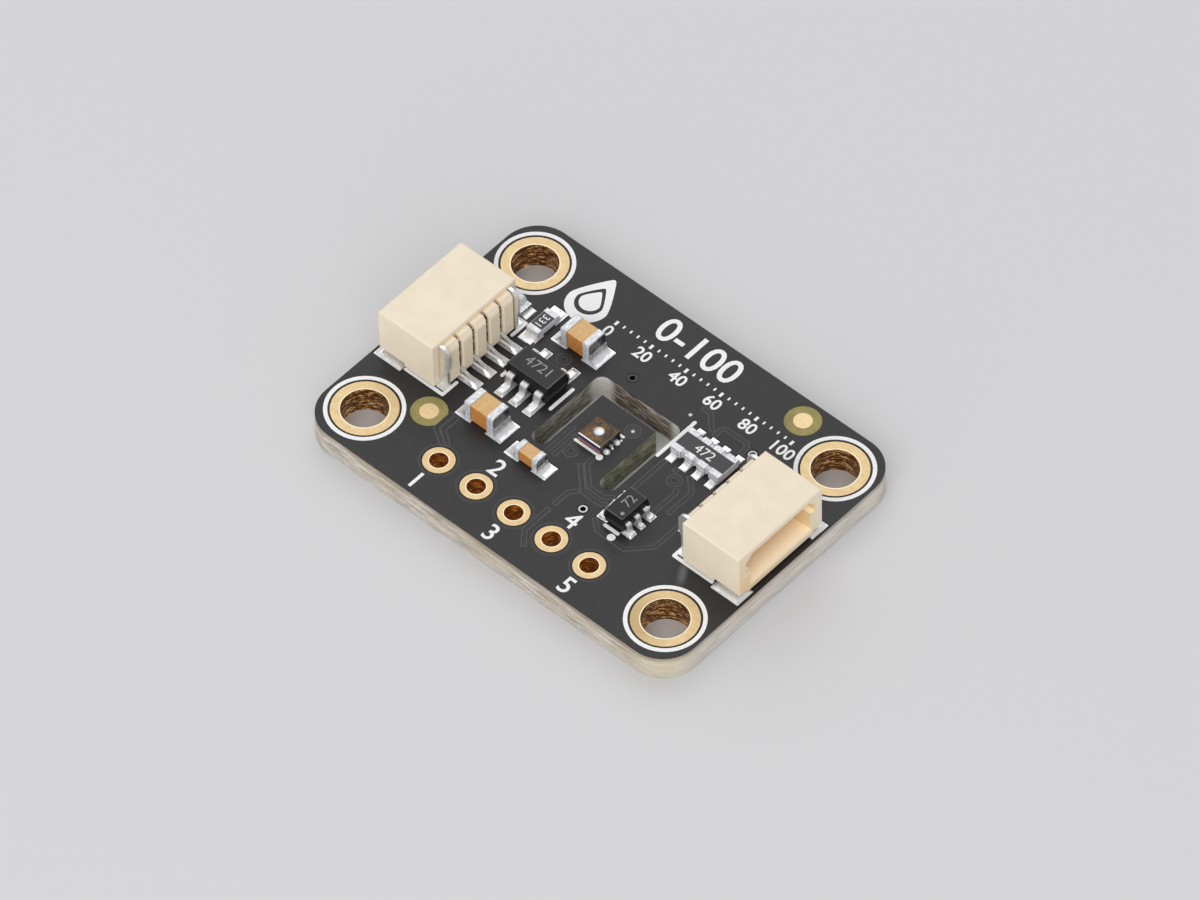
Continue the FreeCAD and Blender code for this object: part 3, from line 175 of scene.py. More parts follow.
# Copper that shows as low ridges under the coating
RIDGE_WIDTH = 0.20
RIDGE_SLOPE = 0.06
RIDGE_HEIGHT = 0.014
RIDGE_ROOT = -0.002
MITRE_LIMIT = 0.6
RING_CORNERS = 40
VIA_RING_WIDTH = 0.16
HEADER_RING_RADIUS = 1.02
HEADER_RING_WIDTH = 0.02
HEADER_RING_SHARE = 0.35
RIDGES = (
    ((4.2, 3.95), (4.2, 4.45), (4.4, 4.65), (5.75, 4.65), (5.95, 4.4), (5.95, 3.95)),
    ((3.42, 1.15), (3.42, -1.2)),
    ((4.26, 1.15), (4.26, 0.9)),
    ((5.05, 1.15), (5.5, 0.75), (5.82, 0.4), (5.82, -1.3)),
    ((5.1, 0.1), (5.22, -0.1), (5.22, -1.75)),
    ((6.75, -1.3), (6.75, -3.35), (5.7, -4.45), (3.9, -4.45), (3.3, -3.95)),
    ((0.62, -0.95), (0.62, -1.62), (1.72, -2.66), (2.75, -2.66), (3.1, -2.3)),
    ((0.4, -1.85), (1.72, -3.1), (2.9, -3.1), (3.15, -2.9)),
    ((1.15, -4.6), (1.15, -3.6), (1.5, -3.2)),
    ((-1.0, -0.6), (-1.0, -2.3)),
    ((-1.45, -0.3), (-1.45, -2.3)),
    ((-6.6, -3.7), (-6.6, -4.9), (-5.6, -5.5)),
    ((-6.25, -3.7), (-6.25, -4.75), (-5.4, -5.35)),
    ((1.15, -5.0), (1.15, -6.8), (1.8, -7.6)),
    ((3.9, 4.1), (3.1, 4.9), (2.6, 4.9)),
    ((-6.9, 2.3), (-6.6, 2.3)),
)

# Shader values: an even texture, the clear coat, and the Mix node's colour sockets
EVEN = (1.0, 1.0, 1.0)
COAT_ROUGHNESS = 0.12
MIX_A, MIX_B, MIX_RESULT = 6, 7, 2


def linear(rgb):
    """A colour given as 0 to 255 screen values, as the shader wants it."""
    out = []
    for value in rgb:
        v = value / 255.0
        out.append(v / 12.92 if v <= 0.04045 else ((v + 0.055) / 1.055) ** 2.4)
    return (*out, 1.0)


class Surface:
    """One material and the nodes that feed its shader."""

    def __init__(self, name, roughness=0.5, metallic=0.0, specular=0.5, coat=0.0):
        self.material = bpy.data.materials.new(name)
        self.material.use_nodes = True
        self.tree = self.material.node_tree
        self.shader = self.tree.nodes["Principled BSDF"]
        self.shader.inputs["Roughness"].default_value = roughness
        self.shader.inputs["Metallic"].default_value = metallic
        self.shader.inputs["Specular IOR Level"].default_value = specular
        self.shader.inputs["Coat Weight"].default_value = coat
        self.shader.inputs["Coat Roughness"].default_value = COAT_ROUGHNESS
        self.place = self.add("ShaderNodeTexCoord").outputs["Object"]
        self.normal = self.add("ShaderNodeNewGeometry").outputs["Normal"]

    def add(self, kind):
        return self.tree.nodes.new(kind)

    def put(self, socket, value):
        """Links another node's output to a socket, or sets it to a number or a screen colour."""
        if isinstance(value, bpy.types.NodeSocket):
            self.tree.links.new(value, socket)
        else:
            socket.default_value = linear(value) if isinstance(value, tuple) else value

    # Numbers
    def math(self, operation, a, b=0.0):
        node = self.add("ShaderNodeMath")
        node.operation = operation
        self.put(node.inputs[0], a)
        self.put(node.inputs[1], b)
        return node.outputs[0]

    def times(self, *values):
        result = values[0]
        for value in values[1:]:
            result = self.math("MULTIPLY", result, value)
        return result

    def either(self, a, b):
        return self.math("MAXIMUM", a, b)

    def absolute(self, value):
        return self.math("ABSOLUTE", value)

    def distance(self, x, y):
        squares = self.math("ADD", self.math("POWER", x, 2.0), self.math("POWER", y, 2.0))
        return self.math("SQRT", squares)

    def step(self, value, start, end):
        """0 at start, 1 at end, and straight between them; start may be the larger."""
        node = self.add("ShaderNodeMapRange")
        self.put(node.inputs["Value"], value)
        self.put(node.inputs["From Min"], start)
        self.put(node.inputs["From Max"], end)
        return node.outputs["Result"]

    def spread(self, factor, low, high, swing=0.25):
        """Noise made to run from low to high; a small swing makes it harder."""
        node = self.add("ShaderNodeMapRange")
        self.put(node.inputs["Value"], factor)
        self.put(node.inputs["From Min"], 0.5 - swing)
        self.put(node.inputs["From Max"], 0.5 + swing)
        self.put(node.inputs["To Min"], low)
        self.put(node.inputs["To Max"], high)
        return node.outputs["Result"]

    # Places
    def axis(self, letter):
        """One coordinate of the surface point, in millimetres."""
        node = self.add("ShaderNodeSeparateXYZ")
        self.put(node.inputs[0], self.place)
        return self.math("MULTIPLY", node.outputs[letter], 1.0 / MM)

    def facing(self, letter):
        """One coordinate of the surface normal."""
        node = self.add("ShaderNodeSeparateXYZ")
        self.put(node.inputs[0], self.normal)
        return node.outputs[letter]

    def turned(self, letter, start, end):
        """0 to 1 as the surface turns towards an axis, between two values of its normal."""
        return self.step(self.facing(letter), start, end)

    def within(self, letter, low, high, soft=0.05):
        """1 between two places on an axis and 0 outside them."""
        place = self.axis(letter)
        return self.times(self.step(place, low - soft, low), self.step(place, high + soft, high))

    def around(self, x, y, reach):
        """1 at a place in the plan, falling to 0 at that reach from it."""
        along = self.math("SUBTRACT", self.axis("X"), x)
        across = self.math("SUBTRACT", self.axis("Y"), y)
        return self.step(self.distance(along, across), reach, 0.0)

    def bore_rims(self):
        """1 on the lip of each plated hole, where a highlight is painted."""
        x = self.math("SUBTRACT", self.absolute(self.axis("X")), MOUNT_X)
        y = self.math("SUBTRACT", self.absolute(self.axis("Y")), MOUNT_Y)
        large = self.step(self.distance(x, y), MOUNT_RADIUS + MOUNT_LIP, MOUNT_RADIUS + LIP_START)
        x = self.math("PINGPONG", self.axis("X"), HEADER_PITCH / 2)
        y = self.math("SUBTRACT", self.axis("Y"), HEADER_Y)
        small = self.step(self.distance(x, y), HEADER_RADIUS + HEADER_LIP,
                          HEADER_RADIUS + LIP_START)
        return self.either(large, small)

    def stripe(self, start, end, width):
        """1 along a line in the plan, falling softly to 0 at that width from it and at its ends."""
        along = Vector(end) - Vector(start)
        length = along.length
        along.normalize()
        x = self.math("SUBTRACT", self.axis("X"), start[0])
        y = self.math("SUBTRACT", self.axis("Y"), start[1])
        run = self.math("ADD", self.times(x, along.x), self.times(y, along.y))
        off = self.math("SUBTRACT", self.times(y, along.x), self.times(x, along.y))
        near_end = self.step(run, length + width, length - width)
        ends = self.times(self.step(run, -width, width), near_end)
        return self.times(self.step(self.absolute(off), width, 0.0), ends)

    # Textures
    def stretched_place(self, stretch):
        """The surface point in millimetres; a small stretch draws a texture out along its axis."""
        node = self.add("ShaderNodeMapping")
        self.put(node.inputs["Vector"], self.place)
        node.inputs["Scale"].default_value = [s / MM for s in stretch]
        return node.outputs[0]

    def noise(self, scale, stretch=EVEN, detail=3.0, roughness=0.55):
        """Cloudy noise with about scale features in a millimetre."""
        node = self.add("ShaderNodeTexNoise")
        self.put(node.inputs["Vector"], self.stretched_place(stretch))
        node.inputs["Scale"].default_value = scale
        node.inputs["Detail"].default_value = detail
        node.inputs["Roughness"].default_value = roughness
        return node.outputs["Fac"]

    def grain(self, along, through, detail, roughness=0.7):
        """Noise with different numbers of features along the board and through its thickness."""
        return self.noise(1.0, (along, along, through), detail, roughness)

    def cells(self, scale):
        node = self.add("ShaderNodeTexVoronoi")
        self.put(node.inputs["Vector"], self.stretched_place(EVEN))
        node.inputs["Scale"].default_value = scale
        return node.outputs["Distance"]

    # Colour and relief
    def mix(self, factor, a, b):
        node = self.add("ShaderNodeMix")
        node.data_type = "RGBA"
        self.put(node.inputs["Factor"], factor)
        self.put(node.inputs[MIX_A], a)
        self.put(node.inputs[MIX_B], b)
        return node.outputs[MIX_RESULT]

    def speckle(self, scale, dark, light, detail=3.0):
        """A colour that wanders between two shades."""
        return self.mix(self.spread(self.noise(scale, detail=detail), 0.0, 1.0), dark, light)

    def colour(self, value):
        self.put(self.shader.inputs["Base Color"], value)

    def glow(self, shade, strength):
        """A little light of its own, where a bore or a mouth returns more than the lamps give."""
        self.put(self.shader.inputs["Emission Color"], shade)
        self.put(self.shader.inputs["Emission Strength"], strength)

    def rough(self, factor, low, high):
        self.put(self.shader.inputs["Roughness"], self.spread(factor, low, high))

    def bump(self, height, depth):
        """Relief of that height value, with its depth in millimetres, on top of any before it."""
        node = self.add("ShaderNodeBump")
        node.inputs["Distance"].default_value = depth * MM
        self.put(node.inputs["Height"], height)
        before = self.shader.inputs["Normal"].links
        if before:
            self.put(node.inputs["Normal"], before[0].from_socket)
        self.put(self.shader.inputs["Normal"], node.outputs[0])


def coating_material(name, dark, light):
    """Dark coating, with a painted highlight where it slopes over copper, a smear, painted shade in
    the hollows of the covered vias, and painted glints at two points.
    """
    s = Surface(name, roughness=0.42, specular=0.42)
    flat = s.speckle(1.6, dark, light, detail=6.0)
    # Painted highlight: the slopes of the coating over copper are made lighter, as if they catch
    # the light
    slope = s.times(s.turned("Z", 0.998, 0.985), s.turned("Z", 0.5, 0.6))
    smear = s.times(s.stripe(SMEAR_START, SMEAR_END, SMEAR_WIDTH), 0.5)
    shade = s.mix(smear, s.mix(slope, flat, PAINTED_SLOPE_HIGHLIGHT), (130, 130, 130))
    # Painted shade: the hollow of each covered via is darkened
    for x, y, _ in COVERED_VIAS:
        shade = s.mix(s.times(s.around(x, y, VIA_HOLLOW), 0.8), shade, (14, 14, 15))
    # Painted glints: bright points on the coating
    for x, y in VIA_GLINTS:
        shade = s.mix(s.step(s.around(x, y, GLINT_REACH), 0.0, 0.5), shade, (214, 214, 214))
    s.colour(shade)
    s.rough(s.noise(5.0), 0.36, 0.50)
    s.bump(s.noise(7.0, detail=2.0), 0.004)
    s.bump(s.noise(38.0, detail=2.0), 0.0012)
    return s.material


def laminate_edge(s):
    """Outer edge of the board: streaks of glass and resin, greyer below and browner above, with
    painted light on the end that faces +X.
    """
    streaks = s.spread(s.grain(0.55, 5.4, 7.0), 0.0, 1.0, 0.13)
    threads = s.step(s.grain(3.0, 12.0, 4.0), 0.56, 0.66)
    edge = s.mix(streaks, (142, 131, 117), (232, 224, 217))
    edge = s.mix(s.times(threads, 0.7), edge, (240, 236, 230))
    resin = s.spread(s.noise(0.4, detail=2.0), 0.0, 0.55)
    edge = s.mix(resin, edge, (182, 170, 138))
    # Painted light: the end of the board that faces +X is made paler
    end = s.times(s.turned("X", 0.5, 0.9), 0.38)
    edge = s.mix(end, edge, (246, 243, 236))
    corners = s.either(*[s.around(*corner) for corner in PALE_CORNERS])
    edge = s.mix(s.times(corners, 0.55), edge, (214, 202, 162))
    foot = s.step(s.axis("Z"), 0.6, 0.1)
    edge = s.mix(s.times(foot, 0.4), edge, (190, 190, 192))
    crest = s.step(s.axis("Z"), 1.2, 1.52)
    return s.mix(s.times(crest, 0.6), edge, (126, 106, 84))


def slot_wall(s):
    """Walls of the slot: layers that are grey, olive or brown by side, and torn pale ends."""
    layer = s.spread(s.grain(0.9, 6.5, 6.0), 0.0, 1.0, 0.12)
    weave = s.step(s.grain(1.1, 13.0, 4.0), 0.51, 0.58)
    olive = s.times(s.turned("X", 0.5, 0.9), s.within("X", *ISLAND_WALL_SPAN))
    brown = s.turned("Y", -0.5, -0.9)
    dark = s.mix(brown, s.mix(olive, (70, 65, 56), (74, 74, 54)), (66, 54, 46))
    light = s.mix(brown, s.mix(olive, (152, 148, 138), (152, 152, 126)), (146, 130, 116))
    threads = s.mix(olive, (208, 203, 190), (200, 200, 170))
    wall = s.mix(s.times(weave, 0.75), s.mix(layer, dark, light), threads)
    torn = s.spread(s.grain(16.0, 16.0, 3.0), 0.55, 1.0)
    for end in TORN_ENDS:
        wall = s.mix(s.times(s.step(s.around(*end), 0.0, 0.5), torn), wall, (230, 228, 221))
    return wall


def laminate_material():
    """Bare laminate at the edges, in the slot and round the dots; dark where it is coated."""
    s = Surface("glass_laminate", roughness=0.62, specular=0.35)
    side = s.step(s.absolute(s.facing("Z")), 0.6, 0.4)
    inside = s.times(s.within("X", *SLOT_SPAN_X), s.within("Y", *SLOT_SPAN_Y))
    sides = s.mix(inside, laminate_edge(s), slot_wall(s))
    bare = s.speckle(2.2, (137, 129, 80), (167, 155, 97))
    dots = s.either(*[s.around(x, y, DOT_OPENING) for x, y in DOTS])
    top = s.mix(s.step(dots, 0.0, 0.05), (30, 29, 26), bare)
    colour = s.mix(side, top, sides)
    below = s.turned("Z", -0.4, -0.6)
    s.colour(s.mix(below, colour, s.speckle(1.6, (34, 34, 35), (42, 42, 43))))
    s.bump(s.times(side, s.grain(1.6, 9.0, 5.0)), 0.05)
    s.bump(s.times(side, s.grain(14.0, 8.0, 2.0, 0.55)), 0.02)
    return s.material


def gold_material():
    """Pale gold rings round the holes, with painted highlights on their lips and a darker area of
    painted shade, and bores painted brown as shade, with painted glints that glow.
    """
    s = Surface("gold_over_nickel", metallic=1.0)
    barrel = s.step(s.absolute(s.facing("Z")), 0.8, 0.3)
    flat = s.speckle(4.0, (211, 184, 138), (226, 203, 161), detail=5.0)
    # Painted shade: a darker area on one side of a mounting-hole ring
    shade_patch = s.step(s.around(*PAINTED_SHADE_PATCH), 0.0, 0.6)
    flat = s.mix(s.times(shade_patch, 0.7), flat, (178, 154, 112))
    # Painted highlight: a bright line on the lip of each plated hole
    flat = s.mix(s.bore_rims(), flat, (252, 240, 214))
    # Painted shade and painted glints: the bores are brown as if in shadow, with bright streaks of
    # light
    painted_glint = s.step(s.grain(2.6, 9.5, 5.0, 0.72), 0.515, 0.6)
    wall = s.mix(painted_glint, (124, 78, 34), (255, 234, 180))
    # The header bores get their own painted shade and glints
    header = s.times(s.within("X", *HEADER_SPAN_X), s.within("Y", *HEADER_SPAN_Y))
    wall = s.mix(header, wall, s.mix(painted_glint, (126, 70, 22), (206, 150, 78)))
    s.colour(s.mix(barrel, flat, wall))
    # Painted light: the bores glow, most on the glints and a little in the header holes
    strength = s.math("ADD", s.times(painted_glint, 0.17), s.times(header, 0.04))
    s.glow((255, 158, 68), s.times(barrel, strength))
    s.put(s.shader.inputs["Roughness"], s.math("SUBTRACT", 0.5, s.times(barrel, 0.26)))
    s.bump(s.times(barrel, s.grain(2.0, 8.0, 4.0)), 0.06)
    s.bump(s.noise(30.0, detail=2.0), 0.002)
    return s.material


def dot_material():
    s = Surface("gold_dot", metallic=0.4)
    s.colour(s.speckle(5.0, (232, 205, 154), (246, 221, 174), detail=5.0))
    s.bump(s.noise(24.0, detail=2.0), 0.003)
    return s.material


def via_material():
    """Small holes that the coating partly covers, and two rings of bare tin."""
    s = Surface("covered_via", roughness=0.4, specular=0.42)
    bare = s.either(*[s.around(x, y, BARE_VIA_REACH) for x, y in BARE_VIAS])
    shade = s.mix(s.step(bare, 0.0, 0.06), (58, 58, 60), (206, 206, 206))
    s.colour(s.mix(s.turned("Z", 0.5, 0.8), (22, 20, 18), shade))
    s.bump(s.noise(20.0, detail=2.0), 0.003)
    return s.material


def ink_material(name, dark, light):
    s = Surface(name, roughness=0.55, specular=0.3)
    s.colour(s.speckle(9.0, dark, light, detail=4.0))
    s.bump(s.noise(24.0, detail=2.0), 0.004)
    return s.material


def moulding_material():
    """Cream nylon, with painted orange shade and painted glow in the mouths, warmer on the ribs,
    and painted orange shade low on the frame of a mouth.
    """
    s = Surface("socket_moulding", specular=0.36)
    outer = s.speckle(0.8, (234, 220, 195), (243, 231, 210), detail=4.0)
    depth = s.absolute(s.axis("X"))
    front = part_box("right_socket_housing")[1].x / MM
    up = s.turned("Z", 0.5, 0.9)

    # Painted orange shade in the mouth: darker towards the back and on its ceiling
    mouth = s.times(s.step(depth, front - 0.02, front - 0.12), s.step(depth, *MOUTH_REAR),
                    s.within("Y", *MOUTH_SPAN_Y, MOUTH_SOFT),
                    s.within("Z", *MOUTH_SPAN_Z, MOUTH_SOFT))
    near = s.step(depth, front - 1.6, front - 0.3)
    painted_mouth_shade = s.mix(near, (222, 172, 110), (240, 214, 168))
    painted_mouth_shade = s.mix(up, painted_mouth_shade, s.mix(near, (236, 200, 148), (250, 238, 212)))
    painted_mouth_shade = s.mix(s.turned("Z", -0.5, -0.9), painted_mouth_shade, (226, 160, 92))

    ribs = s.times(s.step(depth, *RIBS_FADE), 0.7)
    outer = s.mix(ribs, outer, (246, 230, 200))
    # Painted shade: a warmer, darker colour low on the frame of a mouth
    painted_rim = s.times(s.turned("X", 0.5, 0.9), s.step(depth, front - 0.3, front - 0.1),
                  s.step(s.axis("Z"), *FRAME_FADE_Z), s.step(s.axis("Y"), *FRAME_FADE_Y))
    outer = s.mix(s.times(painted_rim, 0.8), outer, (240, 208, 152))

    s.colour(s.mix(s.times(mouth, 0.9), outer, painted_mouth_shade))
    # Painted light: the floor of the mouth glows, most near the lip
    s.glow((255, 230, 178), s.times(mouth, up, s.spread(near, 0.04, 0.28, 0.5)))
    s.rough(s.noise(2.5), 0.44, 0.56)
    s.bump(s.noise(3.0, detail=2.0), 0.006)
    s.bump(s.noise(28.0, detail=2.0), 0.0025)
    return s.material


def metal_material(name, dark, light, roughness, scale, relief, metallic):
    s = Surface(name, roughness=roughness, metallic=metallic)
    s.colour(s.speckle(scale, dark, light, detail=4.0))
    s.rough(s.noise(scale * 1.7), roughness - 0.08, roughness + 0.1)
    s.bump(s.noise(scale), relief)
    return s.material


def solder_material():
    """Bright where it lies flat, with painted grey shade where it climbs and a few dark spots of
    painted shade, as in dimples.
    """
    s = Surface("bright_solder", roughness=0.3, metallic=0.6)
    flat = s.speckle(2.6, (232, 232, 234), (250, 250, 250), detail=4.0)
    # Painted shade: the solder is greyer where it climbs than where it lies flat
    steep_shade = s.speckle(4.0, (166, 167, 170), (236, 237, 240), detail=4.0)
    colour = s.mix(s.turned("Z", 0.45, 0.85), steep_shade, flat)
    # Painted shade: a few dark spots, as in dimples
    painted_dimple_shade = s.step(s.noise(4.2, detail=2.0), 0.66, 0.74)
    s.colour(s.mix(s.times(painted_dimple_shade, 0.75), colour, (70, 71, 74)))
    s.bump(s.noise(2.6), 0.05)
    return s.material


def plating_material():
    """Fired end bands: speckled, with painted shade and spots of painted dark reflection on the far
    end of a part, and paler along its near side.
    """
    s = Surface("end_plating", roughness=0.4)
    band = s.speckle(3.5, (182, 185, 190), (216, 218, 222))
    band = s.mix(s.step(s.noise(10.0), 0.55, 0.64), band, (240, 242, 245))
    # Painted shade: the end that faces +X is darker, with spots of painted dark reflection
    end = s.turned("X", 0.4, 0.8)
    band = s.mix(s.times(end, 0.75), band, (112, 114, 118))
    dark_reflection_patch = s.step(s.noise(1.7, detail=2.0), 0.46, 0.58)
    s.colour(s.mix(s.times(end, dark_reflection_patch, 0.8), band, (48, 49, 52)))
    near = s.turned("Y", -0.4, -0.8)
    s.put(s.shader.inputs["Metallic"], s.math("SUBTRACT", 0.75, s.times(near, 0.65)))
    s.rough(s.noise(6.0), 0.32, 0.5)
    s.bump(s.noise(3.5), 0.02)
    return s.material


def contact_material():
    """Stamped strip: bright, but in painted dark shade with painted glints down in the gaps between
    the ribs.
    """
    s = Surface("stamped_contact", roughness=0.26, metallic=1.0)
    bright = s.speckle(3.0, (196, 194, 188), (232, 230, 226))
    # Painted shade with painted glints where the strip lies in the gaps between the ribs
    painted_glint = s.step(s.grain(3.0, 7.0, 3.0), 0.5, 0.6)
    gap = s.mix(painted_glint, (92, 62, 50), (236, 226, 216))
    behind = s.step(s.absolute(s.axis("X")), *reversed(MOUTH_REAR))
    s.colour(s.mix(s.times(s.step(s.axis("Z"), *GAP_FOOT), behind), bright, gap))
    s.bump(s.noise(6.0), 0.02)
    return s.material


def strip_material():
    """Sheet tabs: bright tin where they lie flat, and painted shade where they stand."""
    s = Surface("stamped_strip", roughness=0.26, metallic=0.6)
    # Painted shade: upright faces are darker than flat ones
    stand = s.speckle(1.5, (206, 203, 196), (238, 236, 231), detail=4.0)
    foot = s.speckle(5.0, (226, 226, 228), (254, 254, 254), detail=4.0)
    s.colour(s.mix(s.turned("Z", 0.6, 0.9), stand, foot))
    s.bump(s.noise(1.5), 0.006)
    return s.material


def ceramic_material():
    s = Surface("capacitor_ceramic", roughness=0.42, specular=0.4)
    # Painted light and shade: the top is paler and the sides a deeper orange
    side = s.speckle(4.0, (190, 124, 58), (212, 146, 80), detail=4.0)
    top = s.speckle(4.0, (206, 162, 104), (220, 182, 126), detail=4.0)
    s.colour(s.mix(s.turned("Z", 0.3, 0.8), side, top))
    s.bump(s.noise(16.0), 0.004)
    return s.material


def alumina_material():
    s = Surface("alumina", specular=0.4)
    s.colour(s.speckle(6.0, (198, 194, 202), (220, 217, 222)))
    s.bump(s.noise(20.0), 0.004)
    return s.material


def package_material(name, node, shade=(33, 33, 34)):
    """Moulded epoxy, with a painted highlight along the top edges of the package and painted shade
    on its sides.
    """
    low, high = (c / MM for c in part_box(node))
    middle = (low + high) / 2
    half = (high - low) / 2
    s = Surface(name, roughness=0.48, specular=0.4)
    grit = s.spread(s.noise(26.0), 0.0, 1.0)
    body = s.mix(grit, tuple(c - 5 for c in shade), tuple(c + 8 for c in shade))
    # Painted shade: the sides are made nearly black
    body = s.mix(s.turned("Z", 0.8, 0.4), body, (12, 12, 12))
    rims = []
    for letter, centre, reach in (("X", middle.x, half.x), ("Y", middle.y, half.y)):
        off = s.absolute(s.math("SUBTRACT", s.axis(letter), centre))
        rims.append(s.step(off, *[reach * TOP_SHARE - back for back in PAINTED_HIGHLIGHT_BAND]))
    top = s.step(s.axis("Z"), high.z - 0.03, high.z - 0.01)
    # Painted highlight along the top edges, as if they catch the light
    painted_edge_highlight = s.times(s.either(*rims), top, s.spread(s.noise(7.0), 0.55, 1.0))
    s.colour(s.mix(painted_edge_highlight, body, (104, 104, 104)))
    s.rough(s.noise(9.0), 0.42, 0.58)
    s.bump(grit, 0.003)
    return s.material


def glaze_material():
    s = Surface("resistor_glaze", roughness=0.34, specular=0.45)
    s.colour(s.speckle(8.0, (44, 44, 46), (56, 56, 58)))
    s.bump(s.noise(14.0), 0.004)
    return s.material


def sensor_material():
    """Dark clear case over amber silicon, with its copper layers bare on the near side, a painted
    glow round the window, and painted highlights on the bevels of the top.
    """
    low, high = (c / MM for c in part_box("sensor_body"))
    s = Surface("sensor_case", roughness=0.3, specular=0.35)
    up = s.turned("Z", 0.5, 0.9)
    near = s.turned("Y", -0.3, -0.6)

    cloud = s.spread(s.noise(3.0, detail=4.0), 0.0, 1.0)
    top = s.mix(cloud, (26, 20, 11), (68, 52, 30))
    mottle = s.spread(s.noise(3.4, detail=4.0), 0.0, 1.0, 0.16)
    top = s.mix(s.times(s.around(*AMBER_CLOUD), mottle), top, (150, 104, 46))
    far_row = s.within("Y", *[high.y - back for back in FAR_PADS], LAYER_SOFT)
    near_row = s.within("Y", *[low.y + ahead for ahead in NEAR_PADS], LAYER_SOFT)
    pads = s.step(s.cells(11.0), 0.36, 0.16)
    top = s.mix(s.times(s.either(far_row, near_row), pads, 0.8), top, (196, 150, 80))
    # Painted glow round the window, blue on one side and cream on the other
    painted_window_glow = s.mix(s.step(s.axis("Y"), -0.25, 0.25), (170, 196, 250), (252, 244, 220))
    top = s.mix(s.step(s.around(0.0, 0.0, WINDOW_REACH), 0.0, 0.3), top, painted_window_glow)

    copper = s.mix(s.spread(s.noise(3.0), 0.0, 1.0), (136, 80, 88), (176, 104, 70))
    layer = s.within("Z", *[low.z + rise for rise in COPPER_LAYER], LAYER_SOFT)
    face = s.mix(near, (14, 14, 15), s.mix(layer, (30, 38, 78), copper))
    # Painted highlight on the bevels of the top edges, white on the near side
    bevel = s.times(s.turned("Z", 0.3, 0.5), s.turned("Z", 0.95, 0.85))
    painted_rim = s.mix(near, (120, 100, 70), (250, 250, 250))

    # The walls of the port take the painted glow too, in place of their shade
    port = s.step(s.around(0.0, 0.0, PORT_REACH), 0.0, 0.05)
    colour = s.mix(s.either(up, port), face, top)
    s.colour(s.mix(bevel, colour, painted_rim))
    s.bump(s.times(up, s.noise(12.0)), 0.006)
    return s.material


def window_material():
    s = Surface("sensor_window", roughness=0.15, coat=0.5)
    low, high = (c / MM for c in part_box("sensor_membrane"))
    # Painted light: the window is blue on one side and cream on the other, and glows
    shade = s.mix(s.step(s.axis("Y"), low.y, high.y), (196, 220, 255), (255, 248, 222))
    s.colour(shade)
    s.glow(shade, 0.12)
    return s.material


def resin_material():
    s = Surface("lamp_resin", roughness=0.22, coat=0.4)
    s.colour(s.speckle(5.0, (196, 202, 210), (240, 243, 247), detail=4.0))
    s.bump(s.noise(4.0), 0.04)
    return s.material


def floor_material():
    s = Surface("pale_floor", roughness=0.8, specular=0.2)
    s.colour(FLOOR_COLOUR)
    return s.material


solder = solder_material()
tin = metal_material("matt_tin", (234, 234, 236), (252, 252, 252), 0.4, 6.0, 0.012, 0.8)
bead_tin = metal_material("bright_bead", (222, 222, 225), (250, 250, 250), 0.22, 5.0, 0.012, 0.2)
strip = strip_material()
plating = plating_material()
contact = contact_material()
ink = ink_material("white_ink", (236, 236, 236), (248, 248, 248))
mark = ink_material("pale_mark", (132, 132, 130), (156, 156, 154))
coating = coating_material("dark_coating", (28, 28, 29), (35, 35, 36))
raised = coating_material("coating_over_copper", (33, 33, 34), (41, 41, 42))
gold = gold_material()
ceramic = ceramic_material()
alumina = alumina_material()
glaze = glaze_material()
moulding = moulding_material()

LOOKS = {
    "printed_board": laminate_material(),
    "top_solder_mask": coating,
    "mounting_hole_plating": gold,
    "header_hole_plating": gold,
    "via_plating": via_material(),
    "fiducial_dots": dot_material(),
    "silkscreen_marks": ink,
    "socket_pads": tin,
    "component_pads": tin,
    "regulator_body": package_material("regulator_epoxy", "regulator_body"),
    "regulator_leads": tin,
    "level_shifter_body": package_material("shifter_epoxy", "level_shifter_body", (26, 26, 27)),
    "level_shifter_leads": tin,
    "resistor_array_body": alumina,
    "resistor_array_coating": glaze,
    "resistor_array_terminals": plating,
    "sensor_body": sensor_material(),
    "sensor_membrane": window_material(),
    "sensor_contacts": solder,
    "chip_solder": solder,
    "lead_solder": solder,
    "chip_resistor_body": alumina,
    "chip_resistor_coating": glaze,
    "chip_resistor_terminals": plating,
    "power_lamp_base": alumina,
    "power_lamp_lens": resin_material(),
    "power_lamp_terminals": plating,
}
for side in ("left", "right"):
    LOOKS[side + "_socket_housing"] = moulding
    LOOKS[side + "_socket_contacts"] = contact
    LOOKS[side + "_socket_tabs"] = strip
    LOOKS[side + "_socket_solder"] = solder
for capacitor in ("input", "output", "small"):
    LOOKS[capacitor + "_capacitor_body"] = ceramic
    LOOKS[capacitor + "_capacitor_terminals"] = plating
for node, look in LOOKS.items():
    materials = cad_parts[node].data.materials
    materials.clear()
    materials.append(look)


def piece(name, vertices, faces, look, slot, smooth=False):
    """A new mesh given in millimetres, which rides with the board."""
    mesh = bpy.data.meshes.new(name)
    mesh.from_pydata([[c * MM for c in v] for v in vertices], [], faces)
    mesh.materials.append(look)
    mesh.polygons.foreach_set("use_smooth", [smooth] * len(mesh.polygons))
    thing = bpy.data.objects.new(name, mesh)
    bpy.context.scene.collection.objects.link(thing)
    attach(thing, "root")


def join(parts):
    """Several lists of vertices and faces as one."""
    vertices, faces = [], []
    for points, loops in parts:
        start = len(vertices)
        vertices += points
        faces += [[start + i for i in loop] for loop in loops]
    return vertices, faces


